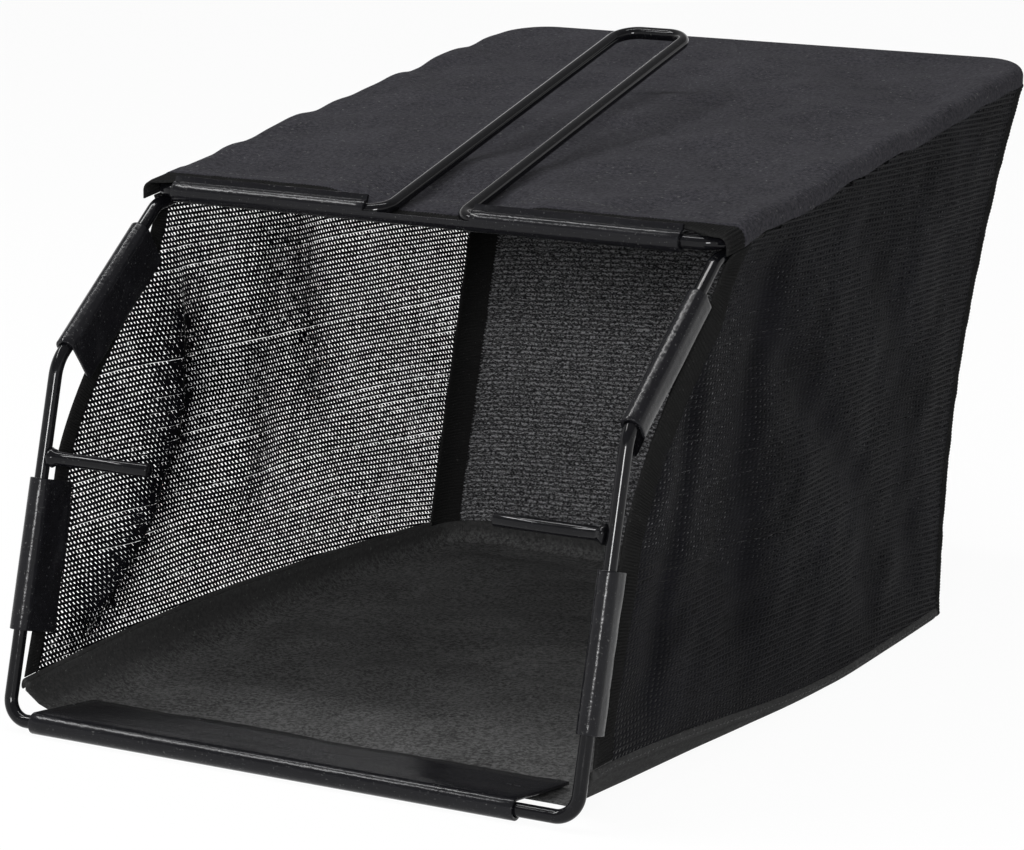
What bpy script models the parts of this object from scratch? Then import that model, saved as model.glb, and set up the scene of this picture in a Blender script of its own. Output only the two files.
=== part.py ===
"""Grass collection bag of a lawn scarifier, built at its real size.

Two bent steel rods make the frame: one bounds the mouth, the other is the top loop with the
handle. A fabric bag of five sewn panels hangs on it by six plastic clip strips. X runs across
the mouth, Y from the mouth to the back, Z up. The origin is on the ground, in the middle of
the bag's outer box.
"""

import math

import bmesh
import bpy
import numpy as np
from mathutils import Vector

# Overall sizes, in metres
OVERALL_DEPTH = 0.634
MOUTH_WIDTH = 0.370
TOP_LOOP_WIDTH = 0.374
ROD_DIAMETER = 0.008
FIT_GAP = 0.0003

# Mouth frame: heights are above the bottom bar's centre, setbacks behind it
KNEE_HEIGHT = 0.2007
KNEE_SETBACK = 0.0536
BROW_SETBACK = 0.158
FOOT_BEND_RADIUS = 0.013
KNEE_BEND_RADIUS = 0.024
BROW_BEND_RADIUS = 0.016
RAIL_STUB_LENGTH = 0.110

# Top loop and handle
TOP_BAR_HEIGHT = 0.2873
TOP_BAR_SETBACK = 0.161
RAIL_SLOPE = 0.108
LOOP_FRONT_BEND_RADIUS = 0.014
LOOP_REAR_BEND_RADIUS = 0.032
HANDLE_OFFSET = -0.005
HANDLE_WIDTH = 0.0486
HANDLE_LENGTH = 0.302
HANDLE_RISE = 0.0759
HANDLE_ROOT_BEND_RADIUS = 0.013
HANDLE_TIP_BEND_RADIUS = 0.015

# Hanging pins
PIN_REACH = 0.0728
PIN_HEIGHT = 0.1474
PIN_WELD_RADIUS = 0.0058
PIN_WELD_LENGTH = 0.0045
PIN_TIP_CHAMFER = 0.0006

# Plastic clip strips
CLIP_THICKNESS = 0.002
CLIP_FACET = math.radians(22.5)
TOP_CLIP_LENGTH = 0.336
TOP_CLIP_OFFSET = -0.005
TOP_CLIP_TAIL = 0.0042
NOTCH_WIDTH = 0.071
BOTTOM_CLIP_LENGTH = 0.316
BOTTOM_CLIP_OFFSET = -0.009
BOTTOM_CLIP_TAIL = 0.060
SIDE_CLIP_TAIL = 0.025
SIDE_CLIP_LIP = 0.008
LOWER_CLIP_LENGTH = 0.0885
UPPER_CLIP_LENGTH = 0.098
LOWER_CLIP_START = {-1: 0.0515, 1: 0.0455}
UPPER_CLIP_START = {-1: 0.011, 1: 0.005}

# Fabric
SHEET = 0.0012
SLACK = 0.0008
CLIP_SETTLE = 0.0017
TOP_SKIRT = 0.0053
CORNER_RADIUS = 0.034
CORNER_FOOT_RADIUS = {-1: 0.034, 1: 0.017}
FOOT_DEPTH = 0.521
FOOT_SKEW = 0.010
FOOT_X = 0.1880
FOOT_FLARE = {-1: 0.009, 1: 0.006}
REAR_SWEEP = {-1: 1.1, 1: 2.1}
SEAM_HEIGHT_FRONT = {-1: 0.019, 1: 0.025}
SEAM_HEIGHT_REAR = {-1: 0.012, 1: 0.0035}
SEAM_LIFT = {-1: 0.007, 1: 0.0}
FLOOR_TURN_UP_FRONT = 0.034
FLOOR_TURN_UP_REAR = 0.009
FLOOR_FRONT = 0.036
WALL_BILLOW = 0.005
BACK_BULGE = 0.016
HEM_WIDTH = 0.012
SIDE_HEM_WIDTH = {-1: 0.014, 1: 0.021}
SIDE_HEM_SHIFT = {-1: 0.004, 1: -0.0085}
TAPE_THICKNESS = 0.0018
WELT_HEIGHT = 0.0055
WELT_THICKNESS = 0.003
BAND_WIDTH = 0.028
SIDE_STEPS = 18
BAND_THICKNESS = 0.002
OPENINGS_ALONG = 12
OPENINGS_UP = 9
OPENING_SHARE = 0.5

# Values that follow from the sizes above
ROD_RADIUS = ROD_DIAMETER / 2
CLIP_RADIUS = (ROD_RADIUS + FIT_GAP + CLIP_THICKNESS / 2) / math.cos(CLIP_FACET / 2)
CLIP_OUTER = CLIP_RADIUS + CLIP_THICKNESS / 2 / math.cos(CLIP_FACET / 2)
BAR_Y = CLIP_OUTER - OVERALL_DEPTH / 2
BAR_Z = CLIP_OUTER
TOP_BAR = Vector((0, BAR_Y + TOP_BAR_SETBACK, BAR_Z + TOP_BAR_HEIGHT))
HALF_MOUTH = MOUTH_WIDTH / 2
HALF_LOOP = TOP_LOOP_WIDTH / 2
LID_RADIUS = ROD_RADIUS + FIT_GAP + SHEET / 2 + SLACK
WALL_TOP_X = HALF_LOOP + LID_RADIUS
REAR_BAR_Y = OVERALL_DEPTH / 2 - SHEET / 2 - LID_RADIUS
REAR_TOP_Y = REAR_BAR_Y + LID_RADIUS
HEM_FRONT_Y = TOP_BAR.y + CLIP_OUTER - 0.0003


def fresh_scene():
    """Clears the scene and makes the two collections."""
    for obj in list(bpy.data.objects):
        bpy.data.objects.remove(obj, do_unlink=True)
    groups = []
    for name in ("grass_collection_bag", "cutters"):
        group = bpy.data.collections.new(name)
        bpy.context.scene.collection.children.link(group)
        groups.append(group)
    return groups


PARTS, CUTTERS = fresh_scene()


def material(name, colour, roughness, metallic=0.0):
    """A plain surface in the colour of the piece."""
    made = bpy.data.materials.new(name)
    made.use_nodes = True
    shader = made.node_tree.nodes["Principled BSDF"]
    shader.inputs["Base Color"].default_value = (*colour, 1)
    shader.inputs["Roughness"].default_value = roughness
    shader.inputs["Metallic"].default_value = metallic
    return made


PAINT = material("black_gloss_paint", (0.006, 0.006, 0.007), 0.12)
PLASTIC = material("black_clip_plastic", (0.012, 0.013, 0.015), 0.38)
CANVAS = material("charcoal_canvas", (0.040, 0.040, 0.045), 0.88)
FLOOR_CANVAS = material("floor_canvas", (0.024, 0.024, 0.025), 0.85)
KNIT = material("black_mesh_knit", (0.010, 0.010, 0.012), 0.7)
TAPE = material("ribbed_tape", (0.016, 0.015, 0.015), 0.8)


def add_object(name, data, finish, group=PARTS):
    obj = bpy.data.objects.new(name, data)
    obj.data.materials.append(finish)
    group.objects.link(obj)
    return obj


def fillet(before, corner, after, radius, steps):
    """Points of the arc that rounds a corner between two straight runs."""
    inward = (before - corner).normalized()
    outward = (after - corner).normalized()
    half = inward.angle(outward) / 2
    middle = (inward + outward).normalized()
    centre = corner + middle * (radius / math.sin(half))
    first = corner + inward * (radius / math.tan(half)) - centre
    last = corner + outward * (radius / math.tan(half)) - centre
    sweep = first.angle(last)
    points = []
    for step in range(steps + 1):
        angle = sweep * step / steps
        weight = math.sin(sweep - angle) / math.sin(sweep)
        points.append(centre + first * weight + last * (math.sin(angle) / math.sin(sweep)))
    return points


def rod_route(corners):
    """Straight runs joined by arcs. Each corner is (point, bend radius), and 0 is a plain end."""
    route = []
    for index, (corner, radius) in enumerate(corners):
        if radius == 0:
            route.append(corner)
            continue
        before = corners[index - 1][0]
        after = corners[(index + 1) % len(corners)][0]
        turn = math.pi - (before - corner).angle(after - corner)
        steps = max(3, round(turn / math.radians(16)))
        route.extend(fillet(before, corner, after, radius, steps))
    return route


def rod(name, corners, closed=False):
    """A bent round rod along the rounded route."""
    curve = bpy.data.curves.new(name, "CURVE")
    curve.dimensions = "3D"
    curve.bevel_depth = ROD_RADIUS
    curve.bevel_resolution = 3
    curve.use_fill_caps = not closed
    route = rod_route(corners)
    spline = curve.splines.new("POLY")
    spline.points.add(len(route) - 1)
    for point, place in zip(spline.points, route):
        point.co = (*place, 1)
    spline.use_cyclic_u = closed
    return add_object(name, curve, PAINT)


def rail_point(side, setback, drop=0.0):
    """A point of the sloping side rail, behind the top bar."""
    return Vector((side * HALF_LOOP, TOP_BAR.y + setback, TOP_BAR.z + RAIL_SLOPE * setback - drop))


def mouth_frame_rod():
    """One rod: bottom bar, uprights that kink back at the knee, and stubs under the top rails."""
    drop = (ROD_DIAMETER + FIT_GAP) * math.hypot(1, RAIL_SLOPE)
    brow_z = TOP_BAR.z + RAIL_SLOPE * (BROW_SETBACK - TOP_BAR_SETBACK) - drop
    halves = []
    for side in (-1, 1):
        x = side * HALF_MOUTH
        foot = Vector((x, BAR_Y, BAR_Z))
        knee = Vector((x, BAR_Y + KNEE_SETBACK, BAR_Z + KNEE_HEIGHT))
        brow = Vector((x, BAR_Y + BROW_SETBACK, brow_z))
        end = brow + Vector((0, 1, RAIL_SLOPE)).normalized() * RAIL_STUB_LENGTH
        halves.append(
            [
                (end, 0),
                (brow, BROW_BEND_RADIUS),
                (knee, KNEE_BEND_RADIUS),
                (foot, FOOT_BEND_RADIUS),
            ]
        )
    return rod("mouth_frame_rod", halves[0] + halves[1][::-1]), halves[1]


def top_loop_rod():
    """One rod: handle, the two halves of the top bar, side rails and the rear bar."""
    rear = REAR_BAR_Y - TOP_BAR.y
    handle_tip = Vector((0, HANDLE_LENGTH, HANDLE_RISE))
    halves = []
    for side in (-1, 1):
        leg = TOP_BAR + Vector((HANDLE_OFFSET + side * HANDLE_WIDTH / 2, 0, 0))
        halves.append(
            [
                (leg + handle_tip, HANDLE_TIP_BEND_RADIUS),
                (leg, HANDLE_ROOT_BEND_RADIUS),
                (rail_point(side, 0), LOOP_FRONT_BEND_RADIUS),
                (rail_point(side, rear), LOOP_REAR_BEND_RADIUS),
            ]
        )
    return rod("top_loop_and_handle_rod", halves[0] + halves[1][::-1], closed=True)


def hanging_pin(name, side):
    """A straight pin welded to the upright, turned about X, with the weld's collar at its root."""
    height = PIN_HEIGHT
    setback = KNEE_SETBACK * height / KNEE_HEIGHT
    root = HALF_MOUTH - ROD_RADIUS - FIT_GAP
    tip = HALF_MOUTH - PIN_REACH
    outline = [
        (0, root),
        (PIN_WELD_RADIUS, root),
        (ROD_RADIUS, root - PIN_WELD_LENGTH),
        (ROD_RADIUS, tip + PIN_TIP_CHAMFER),
        (ROD_RADIUS - PIN_TIP_CHAMFER, tip),
        (0, tip),
    ]
    mesh = bpy.data.meshes.new(name)
    mesh.from_pydata([(r, 0, z) for r, z in outline], [(i, i + 1) for i in range(5)], [])
    pin = add_object(name, mesh, PAINT)
    turned = pin.modifiers.new("turned", "SCREW")
    turned.axis = "Z"
    turned.steps = turned.render_steps = 14
    turned.use_merge_vertices = True
    turned.merge_threshold = 0.00005
    pin.location = (0, BAR_Y + setback, BAR_Z + height)
    pin.rotation_euler = (0, side * math.pi / 2, 0)
    return pin


def wrap_section(start, end, lead, lead_direction, lip=0.0, lip_direction=(0, 0)):
    """Middle line of a clip's section round a rod at (0, 0): tail, arc of facets, lip.

    Angles run from the fabric side, anticlockwise, in whole facets.
    """
    count = round((end - start) / CLIP_FACET)
    angles = start + CLIP_FACET * np.arange(count + 1)
    arc = CLIP_RADIUS * np.stack([np.cos(angles), np.sin(angles)], 1)
    section = [arc[0] + lead * np.asarray(lead_direction)]
    section += list(arc)
    if lip:
        section.append(arc[-1] + lip * np.asarray(lip_direction))
    return np.array(section)


def clip_strip(name, section, origin, along, length, back, out):
    """A plastic sheet bent to the section and run along the rod."""
    mesh = bpy.data.meshes.new(name)
    ends = []
    for travel in (0, length):
        start = origin + along * travel
        ends += [start + back * float(u) + out * float(v) for u, v in section]
    count = len(section)
    faces = [(i, i + 1, count + i + 1, count + i) for i in range(count - 1)]
    mesh.from_pydata([tuple(p) for p in ends], [], faces)
    strip = add_object(name, mesh, PLASTIC)
    wall = strip.modifiers.new("wall", "SOLIDIFY")
    wall.thickness = CLIP_THICKNESS
    wall.offset = 0
    wall.use_even_offset = True
    return strip


def box_cutter(name, low, high):
    mesh = bpy.data.meshes.new(name)
    shape = bmesh.new()
    bmesh.ops.create_cube(shape, size=1)
    for vertex in shape.verts:
        for axis in range(3):
            share = vertex.co[axis] + 0.5
            vertex.co[axis] = low[axis] + share * (high[axis] - low[axis])
    shape.to_mesh(mesh)
    shape.free()
    cutter = add_object(name, mesh, PLASTIC, CUTTERS)
    cutter.hide_render = True
    cutter.display_type = "WIRE"
    return cutter


def top_clip():
    """The long strip on the top bar, with the handle's notch cut in its upper half."""
    lean = (0.35, 0.94)
    section = wrap_section(math.radians(90), math.radians(292.5), TOP_CLIP_TAIL, lean)
    start = TOP_BAR + Vector((TOP_CLIP_OFFSET - TOP_CLIP_LENGTH / 2, 0, 0))
    across, back, up = Vector((1, 0, 0)), Vector((0, 1, 0)), Vector((0, 0, 1))
    strip = clip_strip("clip_strip_top", section, start, across, TOP_CLIP_LENGTH, back, up)
    reach = 4 * CLIP_OUTER
    notch = box_cutter(
        "handle_notch",
        (HANDLE_OFFSET - NOTCH_WIDTH / 2, TOP_BAR.y - reach, TOP_BAR.z + ROD_RADIUS / 8),
        (HANDLE_OFFSET + NOTCH_WIDTH / 2, TOP_BAR.y + reach, TOP_BAR.z + reach),
    )
    cut = strip.modifiers.new("handle notch", "BOOLEAN")
    cut.operation = "DIFFERENCE"
    cut.object = notch
    return strip


def bottom_clip():
    """The long strip on the bottom bar, whose deep tail lies on the bag's floor."""
    tail_height = CLIP_THICKNESS / 2 + FIT_GAP + SHEET + CLIP_SETTLE
    section = wrap_section(math.radians(90), math.radians(337.5), 0.0, (1, 0))
    section[0] = (BOTTOM_CLIP_TAIL, tail_height - BAR_Z)
    start = Vector((BOTTOM_CLIP_OFFSET - BOTTOM_CLIP_LENGTH / 2, BAR_Y, BAR_Z))
    across, back, up = Vector((1, 0, 0)), Vector((0, 1, 0)), Vector((0, 0, 1))
    return clip_strip(
        "clip_strip_bottom", section, start, across, BOTTOM_CLIP_LENGTH, back, up
    )


def side_clip(name, side, low, high, start, length):
    """A short strip on an upright: a deep tail inside the bag's hem and a short lip outside."""
    along = (high - low).normalized()
    back = Vector((0, along.z, -along.y))
    inward = Vector((-side, 0, 0))
    section = wrap_section(
        math.radians(90), math.radians(270), SIDE_CLIP_TAIL, (1, 0), SIDE_CLIP_LIP, (1, 0)
    )
    return clip_strip(name, section, low + along * start, along, length, back, inward)


def lid_height(y):
    """Height of the top panel's middle surface over its side rails."""
    return TOP_BAR.z + RAIL_SLOPE * (y - TOP_BAR.y) + LID_RADIUS


def seam_top(angle):
    """Height of the walls' top edge, where angle is the plan direction round a rear corner."""
    reach = (CORNER_RADIUS - LID_RADIUS) * (1 - np.sin(angle))
    return lid_height(REAR_BAR_Y - reach) - LID_RADIUS - TOP_SKIRT


def seam_foot(a, side):
    """Height of the floor seam, from the front of a side (a = 0) to its rear (a = 1)."""
    share = np.clip(np.asarray(a) / 0.7, 0, 1)
    share = share * share * (3 - 2 * share)
    lift = SEAM_LIFT[side] * np.sin(np.pi * np.clip(a, 0, 1))
    front = SEAM_HEIGHT_FRONT[side]
    return front + (SEAM_HEIGHT_REAR[side] - front) * share + lift


def front_edge(b, side, inset=0.0):
    """(y, z) of a side panel's front edge, from the floor (b = 0) to the top rail (b = 1).

    A straight lower run, a bend that cuts the knee's corner, and a short steep upper run. The
    hem sits further forward on one side than on the other, less so at the foot, and both
    sides meet the top's hem. The inset moves the line into the panel.
    """
    foot = np.array([BAR_Y + 0.0165, SEAM_HEIGHT_FRONT[side]])
    low = np.array([BAR_Y + 0.053, BAR_Z + 0.144])
    knee = np.array([BAR_Y + 0.073, BAR_Z + 0.190])
    high = np.array([BAR_Y + 0.149, BAR_Z + 0.253])
    brow = np.array([HEM_FRONT_Y, lid_height(HEM_FRONT_Y) - LID_RADIUS - TOP_SKIRT])
    b = np.asarray(b, float)
    share = b[..., None]
    first = foot + (low - foot) * (share / 0.42)
    t = np.clip((share - 0.42) / 0.43, 0, 1)
    bend = (1 - t) ** 2 * low + 2 * t * (1 - t) * knee + t**2 * high
    last = high + (brow - high) * ((share - 0.85) / 0.15)
    line = np.where(share < 0.42, first, np.where(share < 0.85, bend, last))
    shift = SIDE_HEM_SHIFT[side] * np.interp(b, [0, 0.12, 0.75, 1], [0.5, 1, 1, 0])
    line = line + shift[..., None] * np.array([1.0, 0.0])
    turn = np.interp(b, [0, 0.3, 0.55, 0.62, 0.8, 1], np.radians([0, -14, -30, -42, -50, 6.5]))
    return line + np.asarray(inset)[..., None] * np.stack([np.cos(turn), np.sin(turn)], -1)


def corner_radius(b, side):
    """Plan radius of a rear corner, from its foot to the top."""
    foot = CORNER_FOOT_RADIUS[side]
    return foot + (CORNER_RADIUS - foot) * np.clip(b, 0, 1)


def rear_edge(b, side, angle):
    """(y, z) of a rear corner: upright at the foot, sweeping back to the rear bar.

    The angle is the plan direction round the corner, from the side (0) to the back (pi / 2).
    """
    b = np.asarray(b, float)
    foot = BAR_Y + FOOT_DEPTH - side * FOOT_SKEW
    low = SEAM_HEIGHT_REAR[side]
    z = low + (seam_top(angle) - low) * b
    y = foot + (REAR_TOP_Y - foot) * np.clip(b, 0, 1) ** REAR_SWEEP[side]
    return np.stack([y - corner_radius(b, side) * (1 - np.sin(angle)), z], -1)


def wall_x(a, b, side):
    """Distance of a side panel from the middle: widest at the rails, with a soft billow."""
    steepness = 2 + 38 * (1 - a) ** 6
    straight = FOOT_X + (WALL_TOP_X - FOOT_X) * b**steepness
    flare = FOOT_FLARE[side] * np.sin(np.pi * np.clip(a, 0, 1) ** 1.2) * np.clip(1 - b, 0, 1) ** 3
    return straight + flare + WALL_BILLOW * np.sin(np.pi * a) * np.sin(np.pi * b) ** 1.5


def wall_folds(a, b, side):
    """Soft folds of the side panels: each is a valley along a slanted line."""
    lines = {-1: [(0.30, 0.06, 0.0045), (0.12, 0.34, 0.005)], 1: [(0.24, 0.10, 0.004)]}
    depth = np.zeros_like(a)
    for start, lean, size in lines[side]:
        distance = (a - start - lean * (b - 0.3)) / 0.055
        depth += size * np.exp(-(distance**2)) * np.sin(np.pi * np.clip(b, 0, 1)) ** 0.7
    return -depth * np.sin(np.pi * np.clip(a, 0, 1)) ** 0.5


def side_surface(a, b, side, inset=0.0):
    """Points of a side panel: straight rows from the front edge to the back's corner."""
    front = front_edge(b, side, inset)
    rear = rear_edge(b, side, np.zeros_like(b))
    y, z = np.moveaxis(front + (rear - front) * a[..., None], -1, 0)
    start = front_edge(b, side)[..., 0]
    a = (y - start) / (rear[..., 0] - start)
    chord = seam_foot(0, side) * (1 - a) + seam_foot(1, side) * a
    z = z + (seam_foot(a, side) - chord) * (1 - b)
    x = side * (wall_x(a, b, side) + wall_folds(a, b, side))
    return np.stack([x, y, z], -1)


def corner_surface(turn, b, side):
    """Points round a rear corner: turn runs from the side panel (0) to the back (1)."""
    angle = turn * np.pi / 2
    rear = rear_edge(b, side, angle)
    x = wall_x(np.ones_like(b), b, side) - corner_radius(b, side) * (1 - np.cos(angle))
    return np.stack([side * x, rear[..., 0], rear[..., 1]], -1)


def back_surface(c, b):
    """Points of the flat of the back, from the left corner (c = 0) to the right (c = 1)."""
    left = corner_surface(np.ones_like(b), b, -1)
    right = corner_surface(np.ones_like(b), b, 1)
    points = left + (right - left) * c[..., None]
    bulge = BACK_BULGE * np.sin(np.pi * c) ** 1.2 * np.sin(np.pi * b) ** 1.3
    points[..., 1] += bulge
    return points


def sheet(name, grid, thickness, finish, openwork=False):
    """A cloth or tape piece: a grid of points given an even thickness about its middle.

    Openwork leaves out every second cell of every second row.
    """
    rows, columns = grid.shape[:2]
    index = np.arange(rows * columns).reshape(rows, columns)
    quads = np.stack([index[:-1, :-1], index[1:, :-1], index[1:, 1:], index[:-1, 1:]], -1)
    kept = np.ones(quads.shape[:2], bool)
    if openwork:
        kept[1::2, 1::2] = False
    return thick_mesh(name, grid.reshape(-1, 3), quads[kept], thickness, finish)


def openwork_lines(low, high, count):
    """Grid lines for a row of openings with even bars between them and half a bar at each end."""
    middles = np.arange(count) + 0.5
    lines = np.sort(np.concatenate([middles - OPENING_SHARE / 2, middles + OPENING_SHARE / 2]))
    shares = np.concatenate([[0], lines / count, [1]])
    return low + (high - low) * shares


def thick_mesh(name, points, quads, thickness, finish):
    mesh = bpy.data.meshes.new(name)
    mesh.from_pydata(points.tolist(), [], quads.tolist())
    mesh.shade_smooth()
    piece = add_object(name, mesh, finish)
    wall = piece.modifiers.new("wall", "SOLIDIFY")
    wall.thickness = thickness
    wall.offset = 0
    wall.use_even_offset = True
    return piece


def mesh_grid(a_values, b_values):
    return np.meshgrid(np.asarray(a_values, float), np.asarray(b_values, float), indexing="ij")


def side_pieces(side, word):
    """A side panel with its hem tape, floor welt and rear corner band."""
    height = BAR_Z + TOP_BAR_HEIGHT
    welt = WELT_HEIGHT / height
    rise = 2 * FIT_GAP / height
    a, b = mesh_grid(
        openwork_lines(0, 1, OPENINGS_ALONG), openwork_lines(welt + rise, 1, OPENINGS_UP)
    )
    hem_width = SIDE_HEM_WIDTH[side]
    mesh = side_surface(a, b, side, hem_width + 4 * FIT_GAP)
    sheet("mesh_side_" + word, mesh, SHEET, KNIT, openwork=True)
    t, b = mesh_grid([0, 0.5, 1], np.linspace(welt + rise, 1, 24))
    hem = side_surface(np.zeros_like(b), b, side, t * hem_width)
    sheet("hem_tape_" + word, hem, TAPE_THICKNESS, TAPE)
    a, b = mesh_grid(np.linspace(0, 1, SIDE_STEPS + 1), [0, welt])
    sheet("floor_welt_" + word, side_surface(a, b, side), WELT_THICKNESS, FLOOR_CANVAS)
    arc = CORNER_RADIUS * np.pi / 2
    turn, b = mesh_grid(np.linspace(2 * FIT_GAP / arc, BAND_WIDTH / arc, 4), np.linspace(0, 1, 15))
    sheet("corner_band_" + word, corner_surface(turn, b, side), BAND_THICKNESS, TAPE)


def back_panel():
    """The back, with the rest of both rounded corners."""
    arc = CORNER_RADIUS * np.pi / 2
    start = (BAND_WIDTH + 2 * FIT_GAP) / arc
    b_values = np.linspace(0, 1, 13)
    turn, b = mesh_grid(np.linspace(start, 1, 4)[:-1], b_values)
    left = corner_surface(turn, b, -1)
    right = corner_surface(turn, b, 1)[::-1]
    c, b = mesh_grid(np.linspace(0, 1, 13), b_values)
    middle = back_surface(c, b)
    sheet("back_panel", np.concatenate([left, middle, right]), SHEET, CANVAS)


def tray(name, flat, outward, rise, profile, finish):
    """A panel with a turned rim on its two sides and rear.

    The flat is a grid of points, front row first. The outward vectors lead from the flat's edge
    to the rim's full width, and the profile is a list of (share of it, share of the rise).
    """
    count, columns = flat.shape[:2]
    base = np.arange(count * columns).reshape(count, columns)
    quads = [np.stack([base[:-1, :-1], base[:-1, 1:], base[1:, 1:], base[1:, :-1]], -1).reshape(-1, 4)]
    inner = np.concatenate([base[:-1, 0], base[-1], base[:-1, -1][::-1]])
    edge = flat.reshape(-1, 3)[inner]
    points = [flat.reshape(-1, 3)]
    start = count * columns
    for reach, lift in profile:
        ring = edge + outward * reach
        ring[:, 2] += rise * lift
        outer = start + np.arange(len(ring))
        quads.append(np.stack([inner[:-1], inner[1:], outer[1:], outer[:-1]], -1))
        points.append(ring)
        inner = outer
        start += len(ring)
    return thick_mesh(name, np.concatenate(points), np.concatenate(quads), SHEET, finish)


def round_corner(steps):
    """Plan angles round a rear corner, from the side (0) to the back (pi / 2)."""
    return np.linspace(0, np.pi / 2, steps + 1)


def edge_directions(straight, angles, columns):
    """Plan directions pointing out of a tray's edge: left side, back, right side."""
    turn = np.concatenate([np.zeros(straight), angles])
    right = np.stack([np.cos(turn), np.sin(turn), np.zeros_like(turn)], -1)
    left = right * [-1, 1, 1]
    back = np.tile([0.0, 1.0, 0.0], (columns, 1))
    return np.concatenate([left[:-1], back, right[:-1][::-1]])


def handle_dip(x, y):
    """How far the top panel gives way under the handle's two roots."""
    behind = y - TOP_BAR.y
    leg_rise = HANDLE_RISE / HANDLE_LENGTH
    needed = LID_RADIUS + ROD_RADIUS * 1.04 + FIT_GAP + SHEET + (RAIL_SLOPE - leg_rise) * behind
    needed = np.clip(needed + 0.0004, 0, None)
    off = np.abs(x - HANDLE_OFFSET) - HANDLE_WIDTH / 2 - ROD_RADIUS - 0.002
    fade = np.clip(1 - off / 0.045, 0, 1)
    return needed * fade * fade * (3 - 2 * fade)


def lid_surface(points):
    """Height of the top panel: the rails' slope, less the dip under the handle."""
    x, y = points[..., 0], points[..., 1]
    return lid_height(y) - handle_dip(x, y)


def top_panel():
    """The top: flat between the rails, wrapped over them and down to the seams."""
    columns, straight = 19, 13
    angles = round_corner(5)
    radius = CORNER_RADIUS - LID_RADIUS
    front = HEM_FRONT_Y + HEM_WIDTH + 2 * FIT_GAP
    half = np.concatenate([np.full(straight, HALF_LOOP), HALF_LOOP - radius * (1 - np.cos(angles))])
    side_run = np.linspace(front, REAR_BAR_Y - radius, straight, endpoint=False)
    y = np.concatenate([side_run, REAR_BAR_Y - radius * (1 - np.sin(angles))])
    x = half[:, None] * np.linspace(-1, 1, columns)
    flat = np.stack([x, np.broadcast_to(y[:, None], x.shape), np.zeros_like(x)], -1)
    flat[..., 2] = lid_surface(flat)
    roll = np.radians([30, 60, 90])
    profile = [(math.sin(t), LID_RADIUS * (math.cos(t) - 1)) for t in roll]
    profile.append((1, 2 * FIT_GAP - LID_RADIUS - TOP_SKIRT))
    outward = LID_RADIUS * edge_directions(straight, angles, columns)
    return tray("top_panel", flat, outward, 1, profile, CANVAS)


def top_hem_tape():
    """The tape along the top panel's front edge, over the corners and down to the side hems."""
    half = HALF_LOOP
    ys = np.linspace(HEM_FRONT_Y, HEM_FRONT_Y + HEM_WIDTH, 3)
    angles = np.radians([90, 60, 30])
    drop = -LID_RADIUS - TOP_SKIRT + 2 * FIT_GAP
    corner = [(half + LID_RADIUS, drop)]
    corner += [(half + LID_RADIUS * math.sin(t), LID_RADIUS * (math.cos(t) - 1)) for t in angles]
    flat = [(x, 0.0) for x in np.linspace(half, 0, 15)]
    right = np.array(corner + flat)
    left = right[:-1][::-1] * [-1, 1]
    profile = np.concatenate([right, left])[::-1]
    y, x = np.meshgrid(ys, profile[:, 0], indexing="ij")
    z = lid_surface(np.stack([np.clip(x, -half, half), y], -1)) + profile[:, 1]
    return sheet("hem_tape_top", np.stack([x, y, z], -1), TAPE_THICKNESS, TAPE)


def floor_panel():
    """The floor: flat on the ground, with a rim that turns up to the seams."""
    columns, straight = 7, SIDE_STEPS
    angles = round_corner(4)
    a = np.linspace(0, 1, straight, endpoint=False)
    turn_up = np.full(straight + len(angles), FLOOR_TURN_UP_REAR)
    turn_up[:straight] += (FLOOR_TURN_UP_FRONT - FLOOR_TURN_UP_REAR) * (1 - a) ** 1.3
    edges, rises, corner_reach = {}, {}, []
    for side in (-1, 1):
        wall = side_surface(a, np.zeros_like(a), side)
        corner_reach.append(wall[0, 1] - BAR_Y - FLOOR_FRONT)
        wall[0, 1] = BAR_Y + FLOOR_FRONT
        corner = corner_surface(angles / (np.pi / 2), np.zeros_like(angles), side)
        edges[side] = np.concatenate([wall, corner])
        rises[side] = edges[side][:, 2] - 2 * FIT_GAP - SHEET / 2
    directions = edge_directions(straight, angles, columns)
    count = straight + len(angles) - 1
    reach = np.concatenate([turn_up[:-1], np.full(columns, turn_up[-1]), turn_up[:-1][::-1]])
    left = edges[-1] - directions[: count + 1] * turn_up[:, None]
    right = edges[1] - directions[count + columns - 1 :][::-1] * turn_up[:, None]
    share = np.linspace(0, 1, columns)[:, None]
    flat = left[:, None] + (right - left)[:, None] * share
    flat[..., 2] = SHEET / 2
    back = rises[-1][-1] + (rises[1][-1] - rises[-1][-1]) * share[:, 0]
    rise = np.concatenate([rises[-1][:-1], back, rises[1][:-1][::-1]])
    outward = directions * reach[:, None]
    outward[[0, -1], 1] = corner_reach
    profile = [(0.35, 0.12), (0.7, 0.45), (1, 1)]
    return tray("floor_panel", flat, outward, rise, profile, FLOOR_CANVAS)


def build():
    mouth, half = mouth_frame_rod()
    top_loop_rod()
    top_clip()
    bottom_clip()
    for side, word in ((-1, "left"), (1, "right")):
        hanging_pin("hanging_pin_" + word, side)
        brow, knee, foot = (half[i][0].copy() for i in (1, 2, 3))
        for point in (brow, knee, foot):
            point.x = side * HALF_MOUTH
        side_clip(
            "clip_strip_lower_" + word, side, foot, knee, LOWER_CLIP_START[side], LOWER_CLIP_LENGTH
        )
        side_clip(
            "clip_strip_upper_" + word, side, knee, brow, UPPER_CLIP_START[side], UPPER_CLIP_LENGTH
        )
        side_pieces(side, word)
    top_panel()
    top_hem_tape()
    floor_panel()
    back_panel()


build()
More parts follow.
